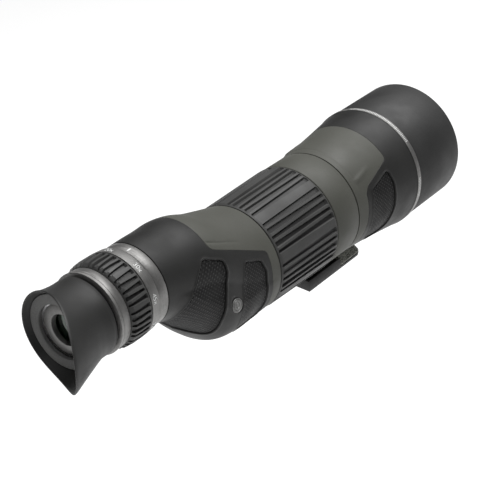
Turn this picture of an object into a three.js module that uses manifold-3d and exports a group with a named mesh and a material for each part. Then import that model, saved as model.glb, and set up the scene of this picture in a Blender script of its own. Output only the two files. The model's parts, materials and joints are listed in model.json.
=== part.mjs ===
// Spotting scope with an offset zoom eyepiece, a rotating tripod collar and a sliding sunshade.
// Millimetres. +Y runs along the optical axis towards the objective, +Z is up, +X is the right-hand side.
// The origin is the centre of the mounting foot's bottom face. Inside the part every station is counted
// along the main optical axis from the rear edge of the focus ring, so the whole scope sits in one group.
import * as THREE from 'three';
import Module from 'manifold-3d';
import { mergeVertices } from 'three/addons/utils/BufferGeometryUtils.js';

const wasm = await Module();
wasm.setup();

// ---------------------------------------------------------------- driving dimensions

const GAP = 0.3; // air between neighbouring pieces
const AXIS_HEIGHT = 46.4; // main optical axis above the foot's bottom face
const EYE_OFFSET = 27; // eyepiece axis above the main optical axis
const OUTER_SIDES = 32; // facets round an outer ring
const INNER_SIDES = 20; // facets round an inner ring

// Main stations along the optical axis
const FOCUS_FRONT = 54.9;
const COLLAR_REAR = 55.3;
const COLLAR_FRONT = 77.5;
const BELL_REAR = 78.0;
const BAND_REAR = 136.6;
const HOOD_REAR = 138.7;
const HOOD_FRONT = 186.2;
const BARREL_FRONT = 171.5;

// Main radii
const TUBE_BORE = 26.8;
const TUBE_RADIUS = 28.4;
const COLLAR_BORE = 30;
const COLLAR_RADIUS = 34.2;
const FOCUS_REAR_RADIUS = 32.9;
const FOCUS_FRONT_RADIUS = 34.5;
const HOOD_RADIUS = 40.1;
const GUIDE_RADIUS = 37; // the front barrel where the sunshade slides on it

// Foot under the collar
const FOOT_REAR = 55;
const FOOT_FRONT = 113.2;
const FOOT_WIDTH = 30;
const FOOT_THICK = 7;
const POCKET_FRONT = 89;
const FOOT_CENTRE = (FOOT_REAR + FOOT_FRONT) / 2;
const FOOT_BOTTOM = -AXIS_HEIGHT;
const FOOT_TOP = FOOT_BOTTOM + FOOT_THICK;
const STRIP_THICK = 1.7; // thin base strip under the foot's front block
const POCKET_FLOOR = FOOT_TOP - 2;

// Eyepiece, on its own axis
const FLANGE_STATION = -86.1;
const INDEX_REAR = -92.9;
const SCALE_FRONT = -93.4;
const SCALE_REAR = -100.1;
const GRIP_REAR = -114.3;
const REAR_RING_REAR = -122.9;
const CUP_FRONT = -123.9;
const CUP_FLOOR = -141.4;
const CUP_RIM = -144.2;
const EYE_BARREL_RADIUS = 17.8;
const EYE_BARREL_BORE = 16.2;
const CAM_TUBE_RADIUS = 19.2;
const WING_REACH = 19.5; // how far the eyecup's wing stands behind the rim
const WING_FLARE = 7.4; // how far it leans outwards

// Travel of the lens cells along their helical cam slots
const FOCUS_TURN = 300;
const FOCUS_TRAVEL = 16;
const ZOOM_TURN = 130.4;
const ZOOM_REST_TURN = 17.4; // turn left to the low-power stop

// ---------------------------------------------------------------- materials

const finish = (color, roughness, metalness = 0) => () =>
  new THREE.MeshStandardMaterial({ color, roughness, metalness });
const greenPaint = finish('#74756b', 0.5);
const armour = finish('#3b3c3a', 0.75);
const gripRubber = finish('#2b2b2b', 0.85);
const gunmetal = finish('#77757a', 0.35, 0.9);
const blackMetal = finish('#1d1d1e', 0.5, 0.6);
const steel = finish('#8f9194', 0.35, 1);
const brass = finish('#a98a4a', 0.4, 1);
const aluminium = finish('#a7a9ab', 0.45, 1);
const plastic = finish('#202021', 0.6);
const glass = finish('#9fb4b0', 0.05);
const seal = finish('#101010', 0.9);

// ---------------------------------------------------------------- solid helpers

// Welds a geometry into one closed surface with its faces pointing out.
function weld(geometry) {
  geometry.deleteAttribute('normal');
  geometry.deleteAttribute('uv');
  const merged = mergeVertices(geometry, 1e-3);
  const corners = merged.index.array;
  const kept = [];
  for (let i = 0; i < corners.length; i += 3) {
    const [a, b, c] = [corners[i], corners[i + 1], corners[i + 2]];
    if (a !== b && b !== c && c !== a) {
      kept.push(a, b, c);
    }
  }
  const points = merged.attributes.position;
  const [p, q, r] = [new THREE.Vector3(), new THREE.Vector3(), new THREE.Vector3()];
  let volume = 0;
  for (let i = 0; i < kept.length; i += 3) {
    p.fromBufferAttribute(points, kept[i]);
    q.fromBufferAttribute(points, kept[i + 1]);
    r.fromBufferAttribute(points, kept[i + 2]);
    volume += p.dot(q.cross(r));
  }
  if (volume < 0) {
    kept.reverse();
  }
  merged.setIndex(kept);
  return merged;
}

function toSolid(geometry) {
  const welded = weld(geometry.clone());
  return new wasm.Manifold(
    new wasm.Mesh({
      numProp: 3,
      vertProperties: Float32Array.from(welded.attributes.position.array),
      triVerts: Uint32Array.from(welded.index.array),
    }),
  );
}

function toGeometry(solid) {
  const mesh = solid.getMesh();
  const geometry = new THREE.BufferGeometry();
  geometry.setAttribute('position', new THREE.BufferAttribute(mesh.vertProperties, 3));
  geometry.setIndex(new THREE.BufferAttribute(mesh.triVerts, 1));
  return geometry;
}

const cut = (body, ...tools) => toGeometry(tools.reduce((s, t) => s.subtract(toSolid(t)), toSolid(body)));
const join = (body, ...tools) => toGeometry(tools.reduce((s, t) => s.add(toSolid(t)), toSolid(body)));
const overlap = (body, ...tools) =>
  toGeometry(tools.reduce((shared, tool) => shared.intersect(toSolid(tool)), toSolid(body)));

// A ring turned from a closed section; each point is [radius, station].
function turned(section, sides = INNER_SIDES) {
  const outline = section.map(([radius, station]) => new THREE.Vector2(radius, station));
  outline.push(outline[0].clone());
  return weld(new THREE.LatheGeometry(outline, sides));
}

const tube = (bore, radius, rear, front, sides = INNER_SIDES) =>
  turned([[bore, rear], [radius, rear], [radius, front], [bore, front]], sides);

// A plain round bar on the axis.
const rod = (radius, rear, front) =>
  new THREE.CylinderGeometry(radius, radius, front - rear, OUTER_SIDES).translate(0, (rear + front) / 2, 0);

// A lens blank: a rim cylinder with a domed or hollowed face at each end.
function lens(radius, rear, front, rearSag, frontSag) {
  const steps = 2;
  const outline = [];
  for (let i = 0; i <= steps; i += 1) {
    const r = (radius * i) / steps;
    outline.push(new THREE.Vector2(r, rear - rearSag * (1 - (r / radius) ** 2)));
  }
  for (let i = steps; i >= 0; i -= 1) {
    const r = (radius * i) / steps;
    outline.push(new THREE.Vector2(r, front + frontSag * (1 - (r / radius) ** 2)));
  }
  return weld(new THREE.LatheGeometry(outline, INNER_SIDES));
}

function block(width, length, height, x, y, z) {
  return new THREE.BoxGeometry(width, length, height).translate(x, y, z);
}

// A round pin standing out from the axis between two radii, at an angle from +X towards +Z.
function radialPin(radius, inner, outer, angle, station, sides = 16) {
  return new THREE.CylinderGeometry(radius, radius, outer - inner, sides)
    .translate(0, (inner + outer) / 2, 0)
    .rotateZ(-Math.PI / 2)
    .rotateY(-THREE.MathUtils.degToRad(angle))
    .translate(0, station, 0);
}

const verticalPin = (radius, bottom, top, x, y, sides = 16) =>
  new THREE.CylinderGeometry(radius, radius, top - bottom, sides)
    .rotateX(Math.PI / 2)
    .translate(x, y, (bottom + top) / 2);

// The path that a cam slot sweeps: a bar bent round the axis, from `angle` on, that climbs along it.
function helixCutter(width, inner, outer, angle, station, turn, travel) {
  const bar = new THREE.BoxGeometry(1, outer - inner, width, Math.ceil(turn / 15), 1, 1);
  const points = bar.attributes.position;
  const margin = width / inner / 2; // half a slot width of turn past each end
  for (let i = 0; i < points.count; i += 1) {
    const share = points.getX(i) + 0.5;
    const round = THREE.MathUtils.degToRad(angle + turn * share) + margin * (2 * share - 1);
    const radius = (inner + outer) / 2 + points.getY(i);
    const along = station + travel * share + points.getZ(i);
    points.setXYZ(i, radius * Math.cos(round), along, radius * Math.sin(round));
  }
  return weld(bar);
}

// A side-view outline, [station, height] points, stretched across the scope from one side to the other.
function sidePrism(points, fromX, toX) {
  const outline = new THREE.Shape(points.map(([station, height]) => new THREE.Vector2(station, height)));
  return new THREE.ExtrudeGeometry(outline, { depth: toX - fromX, bevelEnabled: false })
    .rotateX(Math.PI / 2)
    .rotateZ(Math.PI / 2)
    .translate(fromX, 0, 0);
}

// An end-view outline, [x, height] points, stretched along the scope between two stations.
function endPrism(points, rear, front) {
  const outline = new THREE.Shape(points.map(([x, height]) => new THREE.Vector2(x, height)));
  return new THREE.ExtrudeGeometry(outline, { depth: front - rear, bevelEnabled: false })
    .rotateX(Math.PI / 2)
    .translate(0, front, 0);
}

// A plan-view outline, [x, station] points, stretched between two heights.
function planPrism(points, bottom, top) {
  const outline = new THREE.Shape(points.map(([x, station]) => new THREE.Vector2(x, station)));
  const depth = top - bottom;
  return new THREE.ExtrudeGeometry(outline, { depth, bevelEnabled: false }).translate(0, 0, bottom);
}

// The right half of an outline, completed by its mirror image on the left.
const mirrorX = (points) => [...points, ...points.map(([x, other]) => [-x, other]).reverse()];

// ---------------------------------------------------------------- assembly

const scope = new THREE.Group();
scope.position.set(0, -FOOT_CENTRE, AXIS_HEIGHT);
const eyepiece = new THREE.Group();
eyepiece.position.z = EYE_OFFSET;
scope.add(eyepiece);

function place(group, name, geometry, material) {
  const mesh = new THREE.Mesh(geometry, material());
  mesh.name = name;
  group.add(mesh);
}

// ---------------------------------------------------------------- prism housing

// The housing's cross-section at each station: an upper and a lower half round joined by straight sides.
// Columns: station, top, bottom, upper radius, lower radius.
const HOUSING_SECTIONS = [
  [-86.1, 50.8, 3.2, 23.8, 23.8],
  [-78, 50.7, 0.5, 24.6, 24.6],
  [-68, 50.1, -8, 26.1, 28],
  [-56, 49.9, -20.5, 27.6, 31],
  [-44, 47.2, -30, 29.6, 33.4],
  [-32, 42.4, -32.8, 31, 33.9],
  [-16, 37.4, -33, 32.2, 33.2],
  [-0.5, 33, -32.9, 32.9, 32.9],
];

function sectionAt(station) {
  let i = 0;
  while (i < HOUSING_SECTIONS.length - 2 && station > HOUSING_SECTIONS[i + 1][0]) {
    i += 1;
  }
  const [from, to] = [HOUSING_SECTIONS[i], HOUSING_SECTIONS[i + 1]];
  const share = (station - from[0]) / (to[0] - from[0]);
  return from.map((value, k) => value + (to[k] - value) * share);
}

// The housing's outer form moved inwards by a wall thickness, between two stations.
function housingForm(inset, rear, front, sides = 28) {
  const between = HOUSING_SECTIONS.map(([station]) => station).filter((s) => s > rear && s < front);
  const stations = [rear, ...between, front];
  const rings = stations.length - 1;
  const form = new THREE.CylinderGeometry(1, 1, 1, sides, rings);
  const points = form.attributes.position;
  for (let i = 0; i < points.count; i += 1) {
    const station = stations[Math.round((points.getY(i) + 0.5) * rings)];
    const [, top, bottom, upper, lower] = sectionAt(station);
    const high = points.getZ(i) > -1e-6;
    const radius = high ? upper : lower;
    const centre = high ? top - upper : bottom + lower;
    const spread = radius - inset;
    points.setXYZ(i, points.getX(i) * spread, station, centre + points.getZ(i) * spread);
  }
  return weld(form);
}

const FORM_REAR = -86.1;
const FORM_FRONT = -0.5;
const SKIN = 1.5; // armour and cover thickness
const BAND_EDGE = -8; // the painted band runs all round in front of this station
const SADDLE_REAR = -50;

// Side view of the painted saddle: the band in front of BAND_EDGE and the top up to a sloping edge.
const saddleOutline = (grow) => [
  [BAND_EDGE - grow, -60],
  [10, -60],
  [10, 80],
  [SADDLE_REAR - grow, 80],
  [SADDLE_REAR - grow, 36.9 - grow],
  [BAND_EDGE - grow, 19 - grow],
];
const REAR_PAD = [
  [-58.5, 37.5], [-44.5, 31], [-44, 25], [-46.6, 15], [-49.7, 7], [-51.5, -2],
  [-52, -16], [-66, -9], [-78, 2], [-76, 12], [-72, 20], [-65, 30],
];
const FRONT_PAD = [
  [-29, 23], [-15.5, 17.6], [-13, 10.8], [-13, -10], [-16, -22], [-32, -24], [-36, -15], [-36, 0],
];

// A pad outline pulled towards its middle, which leaves the gap round the pad.
function shrink(points, amount) {
  const count = points.length;
  const middle = points.reduce((m, p) => [m[0] + p[0] / count, m[1] + p[1] / count], [0, 0]);
  return points.map(([y, z]) => {
    const length = Math.hypot(y - middle[0], z - middle[1]);
    const share = 1 - amount / length;
    return [middle[0] + (y - middle[0]) * share, middle[1] + (z - middle[1]) * share];
  });
}

const skin = cut(housingForm(0, FORM_REAR, FORM_FRONT), housingForm(SKIN, FORM_REAR - 1, FORM_FRONT + 1));
place(scope, 'housing_cover', overlap(skin, sidePrism(saddleOutline(0), -60, 60)), greenPaint);
const PURGE = { station: -41, height: 3, radius: 4.2 };
const plugHole = (radius) =>
  new THREE.CylinderGeometry(radius, radius, 14, 20)
    .rotateZ(-Math.PI / 2)
    .translate(33, PURGE.station, PURGE.height);
place(
  scope, 'housing_armour',
  cut(
    skin,
    sidePrism(saddleOutline(GAP), -60, 60),
    sidePrism(REAR_PAD, -60, 60),
    sidePrism(FRONT_PAD, -60, 60),
    plugHole(PURGE.radius + GAP),
  ),
  armour,
);
for (const [side, from, to] of [['right', 4, 60], ['left', -60, -4]]) {
  const rearShape = sidePrism(shrink(REAR_PAD, 0.6), from, to);
  place(scope, `grip_pad_rear_${side}`, overlap(skin, rearShape), gripRubber);
  const frontShape = sidePrism(shrink(FRONT_PAD, 0.6), from, to);
  place(scope, `grip_pad_front_${side}`, overlap(skin, frontShape), gripRubber);
}

// The cast chassis under the skin, open to the main tube in front and to the eyepiece behind.
const CAST_WALL = 2;
const CAST_REAR = -85.6;
const CAST_FRONT = -1;
const castInset = SKIN + GAP;
place(
  scope, 'prism_housing',
  cut(
    housingForm(castInset, CAST_REAR, CAST_FRONT, 20),
    housingForm(castInset + CAST_WALL, CAST_REAR + 2.5, CAST_FRONT - 6, 20),
    rod(TUBE_RADIUS + GAP, CAST_FRONT - 9, CAST_FRONT + 1),
    rod(EYE_BARREL_RADIUS + GAP, CAST_REAR - 1, CAST_REAR + 4).translate(0, 0, EYE_OFFSET),
    plugHole(PURGE.radius - 1),
  ),
  aluminium,
);
place(
  scope, 'purge_plug',
  new THREE.CylinderGeometry(PURGE.radius, PURGE.radius, 2, 20)
    .rotateZ(-Math.PI / 2)
    .translate(32, PURGE.station, PURGE.height),
  blackMetal,
);

// ---------------------------------------------------------------- prisms

// A right-angle prism on its edge: the long face is `span` wide and the piece is `depth` thick.
function prism(span, depth) {
  const outline = new THREE.Shape([
    new THREE.Vector2(-span / 2, 0),
    new THREE.Vector2(span / 2, 0),
    new THREE.Vector2(0, span / 2),
  ]);
  return new THREE.ExtrudeGeometry(outline, { depth, bevelEnabled: false }).translate(0, 0, -depth / 2);
}

const PLATE_STATION = -44; // the prism table across the housing
const PLATE_THICK = 3;
const TABLE_BORE = 13;
place(
  scope, 'prism_table',
  cut(
    housingForm(
      castInset + CAST_WALL + GAP, PLATE_STATION - PLATE_THICK / 2, PLATE_STATION + PLATE_THICK / 2, 20,
    ),
    rod(TABLE_BORE, PLATE_STATION - 5, PLATE_STATION + 5),
    rod(TABLE_BORE, PLATE_STATION - 5, PLATE_STATION + 5).translate(0, 0, EYE_OFFSET),
  ),
  aluminium,
);
const PRISM_SPAN = 30;
place(
  scope, 'erecting_prism_rear',
  prism(PRISM_SPAN, 20)
    .rotateY(Math.PI / 2)
    .rotateX(Math.PI)
    .translate(0, PLATE_STATION - PLATE_THICK / 2 - GAP, EYE_OFFSET / 2 - 3),
  glass,
);
place(
  scope, 'erecting_prism_front',
  prism(PRISM_SPAN, 20)
    .translate(0, PLATE_STATION + PLATE_THICK / 2 + GAP, EYE_OFFSET / 2 - 3),
  glass,
);
for (const [name, facing] of [['rear', -1], ['front', 1]]) {
  const seat = PLATE_STATION + facing * (PLATE_THICK / 2 + GAP);
  const crown = seat + facing * (PRISM_SPAN / 2 + GAP);
  const height = EYE_OFFSET / 2 - 3;
  const middle = (seat + crown) / 2;
  const alongX = facing > 0;
  const reach = PRISM_SPAN / 2 + 1;
  const legs = [-1, 1].map((s) =>
    alongX
      ? block(1, Math.abs(crown - seat), 6, s * reach, middle, height)
      : block(6, Math.abs(crown - seat), 1, 0, middle, height + s * reach),
  );
  const bridge = alongX
    ? block(2 * reach + 1, 1, 6, 0, crown + facing * 0.5, height)
    : block(6, 1, 2 * reach + 1, 0, crown + facing * 0.5, height);
  const grown = legs.map((leg) => leg.translate(0, facing * 0.2, 0));
  place(scope, `prism_strap_${name}`, join(bridge, ...grown), steel);
}

// ---------------------------------------------------------------- main tube and focusing

const FOCUS_CELL_STATION = 27;
const PIN_RADIUS = 1.8;
const slotHalf = FOCUS_TRAVEL / 2 + PIN_RADIUS + GAP;
place(
  scope, 'main_tube',
  cut(
    tube(TUBE_BORE, TUBE_RADIUS, -5, 84, OUTER_SIDES),
    block(2 * (PIN_RADIUS + GAP), 2 * slotHalf, 8, 0, FOCUS_CELL_STATION, TUBE_RADIUS),
  ),
  aluminium,
);
const FOCUS_CORE_BORE = TUBE_RADIUS + GAP;
const FOCUS_CORE_RADIUS = 31.2;
place(
  scope, 'focus_core',
  cut(
    tube(FOCUS_CORE_BORE, FOCUS_CORE_RADIUS, 0.2, FOCUS_FRONT - 0.2, OUTER_SIDES),
    helixCutter(
      2 * (PIN_RADIUS + GAP), FOCUS_CORE_BORE - 2, FOCUS_CORE_BORE + 1.6,
      90 - FOCUS_TURN / 2, FOCUS_CELL_STATION - FOCUS_TRAVEL / 2, FOCUS_TURN, FOCUS_TRAVEL,
    ),
  ),
  brass,
);
place(
  scope, 'focus_grip',
  turned(
    [
      [FOCUS_CORE_RADIUS + GAP, 0.3],
      [FOCUS_REAR_RADIUS, 0.3],
      [FOCUS_REAR_RADIUS + 0.6, 2],
      [FOCUS_FRONT_RADIUS + 0.1, FOCUS_FRONT - 2],
      [FOCUS_FRONT_RADIUS - 0.4, FOCUS_FRONT - 0.1],
      [FOCUS_CORE_RADIUS + GAP, FOCUS_FRONT - 0.1],
    ],
    OUTER_SIDES,
  ),
  gripRubber,
);
place(
  scope, 'focus_cell',
  turned([[21, 18], [TUBE_BORE - GAP, 18], [TUBE_BORE - GAP, 36], [22.6, 36], [22.6, 21], [21, 21]]),
  blackMetal,
);
place(scope, 'focus_lens', lens(22.2, 23.5, 29, -2, 1.5), glass);
place(
  scope, 'focus_drive_pin',
  radialPin(PIN_RADIUS, TUBE_BORE, FOCUS_CORE_BORE + 1.2, 90, FOCUS_CELL_STATION),
  steel,
);

// ---------------------------------------------------------------- tripod collar and foot

const LINER_RADIUS = COLLAR_BORE - GAP;
place(
  scope, 'collar_liner',
  tube(TUBE_RADIUS + GAP, LINER_RADIUS, COLLAR_REAR + 1, COLLAR_FRONT - 1, OUTER_SIDES),
  plastic,
);
const COLLAR_MIDDLE = (COLLAR_REAR + COLLAR_FRONT) / 2;
const KNOB_ANGLE = 210; // the lock knob is on the left, 30 degrees below the horizontal
const BOSS_RADIUS = 6.5;
const BOSS_END = 40;
const STUD_RADIUS = 3;
const NECK_FOOT = 9.5; // half the neck's width where it stands in the rail
const NECK_TOP = 14; // and where it meets the collar
const RAIL_RIM = 1.8; // wall around the pocket in the rail
const NECK = {
  bottom: POCKET_FLOOR + GAP,
  top: -31,
  rear: FOOT_REAR + RAIL_RIM + GAP,
  front: COLLAR_FRONT - 0.5,
};
// Side view of the web that runs forward from the neck to the foot's front block
const WEB = [
  [COLLAR_FRONT - 1.5, NECK.bottom], [POCKET_FRONT - GAP, NECK.bottom], [POCKET_FRONT - GAP, -37.6],
  [COLLAR_FRONT + 2.5, -35.6], [COLLAR_FRONT - 1.5, -33.6],
];
const SCREW_STATIONS = [60.5, 72.5];
const SCREW_RADIUS = 2;
place(
  scope, 'tripod_collar',
  cut(
    join(
      turned(
        [
          [COLLAR_BORE, COLLAR_REAR],
          [COLLAR_RADIUS - 0.3, COLLAR_REAR],
          [COLLAR_RADIUS, COLLAR_REAR + 0.6],
          [COLLAR_RADIUS, COLLAR_FRONT - 0.6],
          [COLLAR_RADIUS - 0.4, COLLAR_FRONT],
          [COLLAR_BORE, COLLAR_FRONT],
        ],
        OUTER_SIDES,
      ),
      endPrism(mirrorX([[NECK_FOOT, NECK.bottom], [NECK_TOP, NECK.top]]), NECK.rear, NECK.front),
      sidePrism(WEB, -NECK_FOOT, NECK_FOOT),
      radialPin(BOSS_RADIUS, 32, BOSS_END, KNOB_ANGLE, COLLAR_MIDDLE, 24),
    ),
    radialPin(STUD_RADIUS + GAP, 20, BOSS_END + 5, KNOB_ANGLE, COLLAR_MIDDLE),
    ...SCREW_STATIONS.map((station) => verticalPin(SCREW_RADIUS + GAP, -45, -34, 0, station)),
  ),
  greenPaint,
);
place(
  scope, 'lock_stud',
  radialPin(STUD_RADIUS, LINER_RADIUS + 0.5, BOSS_END + 6, KNOB_ANGLE, COLLAR_MIDDLE),
  steel,
);
const KNOB_RADIUS = 8;
const KNOB_HEIGHT = 11;
const knobLobe = (i) => {
  const angle = (i * Math.PI) / 4;
  const piece = new THREE.CylinderGeometry(1.6, 1.6, KNOB_HEIGHT + 2, 8);
  return piece.translate(KNOB_RADIUS * Math.cos(angle), 0, KNOB_RADIUS * Math.sin(angle));
};
const knobShape = cut(
  new THREE.CylinderGeometry(KNOB_RADIUS - 0.6, KNOB_RADIUS, KNOB_HEIGHT, 32),
  ...Array.from({ length: 8 }, (_, i) => knobLobe(i)),
  new THREE.CylinderGeometry(STUD_RADIUS + GAP, STUD_RADIUS + GAP, KNOB_HEIGHT, 16).translate(0, -4, 0),
);
place(
  scope, 'lock_knob',
  knobShape
    .translate(0, BOSS_END + 1 + KNOB_HEIGHT / 2, 0)
    .rotateZ(-Math.PI / 2)
    .rotateY(-THREE.MathUtils.degToRad(KNOB_ANGLE))
    .translate(0, COLLAR_MIDDLE, 0),
  plastic,
);

const INSERT_STATION = 98.5;
const INSERT_RADIUS = 4.6;
const pocketLength = POCKET_FRONT - FOOT_REAR - RAIL_RIM;
const HEAD_RADIUS = 3.6;
const HEAD_HEIGHT = 2.4;
// The foot's sides lean in above its straight lower edge, and its nose is tapered in plan.
const FOOT_HALF = FOOT_WIDTH / 2;
const SHOULDER = FOOT_BOTTOM + 3.8;
const BLOCK_TOP = FOOT_TOP + 1.8;
// Right edge of the foot seen from above, as [x, station].
const FOOT_EDGE = [
  [FOOT_HALF, FOOT_REAR], [FOOT_HALF, 108.5], [FOOT_HALF - 1, 111], [FOOT_HALF - 3.5, FOOT_FRONT],
];
const footPlan = planPrism(mirrorX(FOOT_EDGE), FOOT_BOTTOM, BLOCK_TOP + 1);
const railSide = overlap(
  sidePrism(
    [
      [FOOT_REAR, FOOT_BOTTOM], [FOOT_FRONT, FOOT_BOTTOM], [FOOT_FRONT, FOOT_BOTTOM + STRIP_THICK],
      [POCKET_FRONT, FOOT_BOTTOM + STRIP_THICK], [POCKET_FRONT, FOOT_TOP], [FOOT_REAR, FOOT_TOP],
    ],
    -FOOT_HALF, FOOT_HALF,
  ),
  footPlan,
  endPrism(
    mirrorX([[FOOT_HALF, FOOT_BOTTOM], [FOOT_HALF, SHOULDER], [FOOT_HALF - 1, FOOT_TOP]]),
    FOOT_REAR, FOOT_FRONT,
  ),
);
place(
  scope, 'foot_rail',
  cut(
    railSide,
    block(
      FOOT_WIDTH - 2 * RAIL_RIM, pocketLength + 10, 10,
      0, FOOT_REAR + RAIL_RIM + (pocketLength + 10) / 2, POCKET_FLOOR + 5,
    ),
    ...SCREW_STATIONS.flatMap((station) => [
      verticalPin(SCREW_RADIUS + GAP, FOOT_BOTTOM - 1, POCKET_FLOOR + 1, 0, station),
      verticalPin(HEAD_RADIUS + GAP, FOOT_BOTTOM - 1, FOOT_BOTTOM + HEAD_HEIGHT + GAP, 0, station),
    ]),
    verticalPin(INSERT_RADIUS + GAP, FOOT_BOTTOM - 1, FOOT_BOTTOM + 3, 0, INSERT_STATION),
  ),
  blackMetal,
);
const blockBottom = FOOT_BOTTOM + STRIP_THICK + GAP;
place(
  scope, 'foot_block',
  cut(
    overlap(
      sidePrism(
        [
          [POCKET_FRONT + GAP, blockBottom], [FOOT_FRONT - 0.4, blockBottom],
          [FOOT_FRONT - 0.7, blockBottom + 0.8], [FOOT_FRONT - 5.4, BLOCK_TOP - 0.8],
          [FOOT_FRONT - 6.8, BLOCK_TOP], [POCKET_FRONT + GAP, BLOCK_TOP],
        ],
        -FOOT_HALF, FOOT_HALF,
      ),
      footPlan,
      endPrism(
        mirrorX([[FOOT_HALF, blockBottom], [FOOT_HALF, blockBottom + 1], [FOOT_HALF - 4, BLOCK_TOP]]),
        POCKET_FRONT, FOOT_FRONT,
      ),
    ),
    verticalPin(INSERT_RADIUS + GAP, FOOT_BOTTOM, FOOT_TOP - 1, 0, INSERT_STATION),
  ),
  greenPaint,
);
place(
  scope, 'tripod_thread_insert',
  cut(
    verticalPin(INSERT_RADIUS, FOOT_BOTTOM + 0.1, FOOT_TOP - 1.3, 0, INSERT_STATION, 24),
    verticalPin(3.2, FOOT_BOTTOM - 1, FOOT_TOP - 2.4, 0, INSERT_STATION, 24),
  ),
  brass,
);
SCREW_STATIONS.forEach((station, i) => {
  place(
    scope, `foot_screw_${i + 1}`,
    cut(
      join(
        verticalPin(SCREW_RADIUS, FOOT_BOTTOM + HEAD_HEIGHT - 0.5, -34.6, 0, station),
        verticalPin(HEAD_RADIUS, FOOT_BOTTOM + 0.1, FOOT_BOTTOM + HEAD_HEIGHT, 0, station),
      ),
      verticalPin(1.6, FOOT_BOTTOM - 1, FOOT_BOTTOM + 1.5, 0, station, 6),
    ),
    steel,
  );
});

// ---------------------------------------------------------------- front barrel and its skins

// Outer radius of the bell behind the sunshade
const BELL_PROFILE = [[BELL_REAR, 34.15], [98, 35.9], [114.6, 37.75], [BAND_REAR - 0.3, 40.4]];
const BELL_SKIN = 1.5;
place(
  scope, 'front_barrel',
  turned(
    [
      [TUBE_RADIUS + GAP, BELL_REAR + 0.2],
      ...BELL_PROFILE.map(([station, radius]) => [
        radius - BELL_SKIN - GAP,
        station === BELL_REAR ? station + 0.2 : station,
      ]),
      [38.6, HOOD_REAR - GAP],
      [GUIDE_RADIUS, HOOD_REAR - GAP],
      [GUIDE_RADIUS, BARREL_FRONT],
      [GUIDE_RADIUS - 1, BARREL_FRONT],
      [GUIDE_RADIUS - 1, 142],
      [32, 110],
      [TUBE_RADIUS + GAP, 85.5],
    ],
    OUTER_SIDES,
  ),
  aluminium,
);
const bellSkin = turned(
  [
    ...BELL_PROFILE.map(([station, radius]) => [radius, station]),
    ...BELL_PROFILE.map(([station, radius]) => [radius - BELL_SKIN, station]).reverse(),
  ],
  OUTER_SIDES,
);
const BELL_COLOUR_EDGE = 114.6;
const bellCoverOutline = (grow) => [
  [60, -60], [87 + grow, -60], [87 + grow, 13 - grow], [91.2 + grow, 18 - grow],
  [98.5 + grow, 23 - grow], [113 + grow, 26.6 - grow], [BELL_COLOUR_EDGE + grow, 29 - grow],
  [BELL_COLOUR_EDGE + grow, 60], [60, 60],
];
const BELL_PAD = [
  [111, 20.5], [102.7, 17.3], [94.2, 14.3], [91, 3], [91, -9], [93, -20], [97, -25], [106, -23.5],
  [111, -17], [113.5, -2], [113, 12],
];
place(scope, 'bell_cover', overlap(bellSkin, sidePrism(bellCoverOutline(0), -60, 60)), greenPaint);
place(
  scope, 'bell_armour',
  cut(bellSkin, sidePrism(bellCoverOutline(GAP), -60, 60), sidePrism(BELL_PAD, -60, 60)),
  armour,
);
for (const [side, from, to] of [['right', 4, 60], ['left', -60, -4]]) {
  place(
    scope, `grip_pad_bell_${side}`,
    overlap(bellSkin, sidePrism(shrink(BELL_PAD, 0.6), from, to)),
    gripRubber,
  );
}
place(scope, 'accent_ring', tube(38.9, 40.6, BAND_REAR, HOOD_REAR - 0.4, OUTER_SIDES), gunmetal);

// ---------------------------------------------------------------- objective

place(
  scope, 'objective_cell',
  turned([
    [31.5, 146], [GUIDE_RADIUS - 1 - GAP, 146], [GUIDE_RADIUS - 1 - GAP, 168],
    [33.4, 168], [33.4, 148], [31.5, 148],
  ]),
  blackMetal,
);
place(scope, 'objective_flint_lens', lens(33, 150, 155, 1, -2.4), glass);
place(scope, 'objective_spacer', tube(31.8, 33.1, 155.3, 156.1), blackMetal);
place(scope, 'objective_crown_lens', lens(33, 156.4, 159, 1.4, 3), glass);
place(scope, 'objective_seal', tube(32.4, 33.1, 159.4, 160.3), seal);
place(scope, 'objective_retaining_ring', tube(32, 33.1, 160.6, 164), blackMetal);

// ---------------------------------------------------------------- sunshade

const HOOD_WALL = 1.5;
const HOOD_LIP = 2.5;
const hoodBore = HOOD_RADIUS - HOOD_WALL;
place(
  scope, 'sunshade',
  turned(
    [
      [GUIDE_RADIUS + GAP, HOOD_REAR],
      [HOOD_RADIUS, HOOD_REAR],
      [HOOD_RADIUS, HOOD_FRONT - 0.8],
      [HOOD_RADIUS - 0.7, HOOD_FRONT],
      [hoodBore, HOOD_FRONT],
      [hoodBore, HOOD_REAR + HOOD_LIP],
      [GUIDE_RADIUS + GAP, HOOD_REAR + HOOD_LIP],
    ],
    OUTER_SIDES,
  ),
  blackMetal,
);
place(
  scope, 'sunshade_felt_ring',
  tube(GUIDE_RADIUS + 0.2, hoodBore - GAP, 166.8, 170.8, OUTER_SIDES),
  seal,
);

// ---------------------------------------------------------------- eyepiece, fixed parts

// Station of each lens cell's pin at the low-power and the high-power stop; the front cell's pin stands
// above the axis and the rear cell's below it, and each cell body lies on `side` of its pin.
const ZOOM_CELLS = [
  { name: 'front', side: 1, low: -104.5, high: -96.5 },
  { name: 'rear', side: -1, low: -110.5, high: -105 },
];
const ZOOM_PIN_RADIUS = 1.4;

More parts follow.
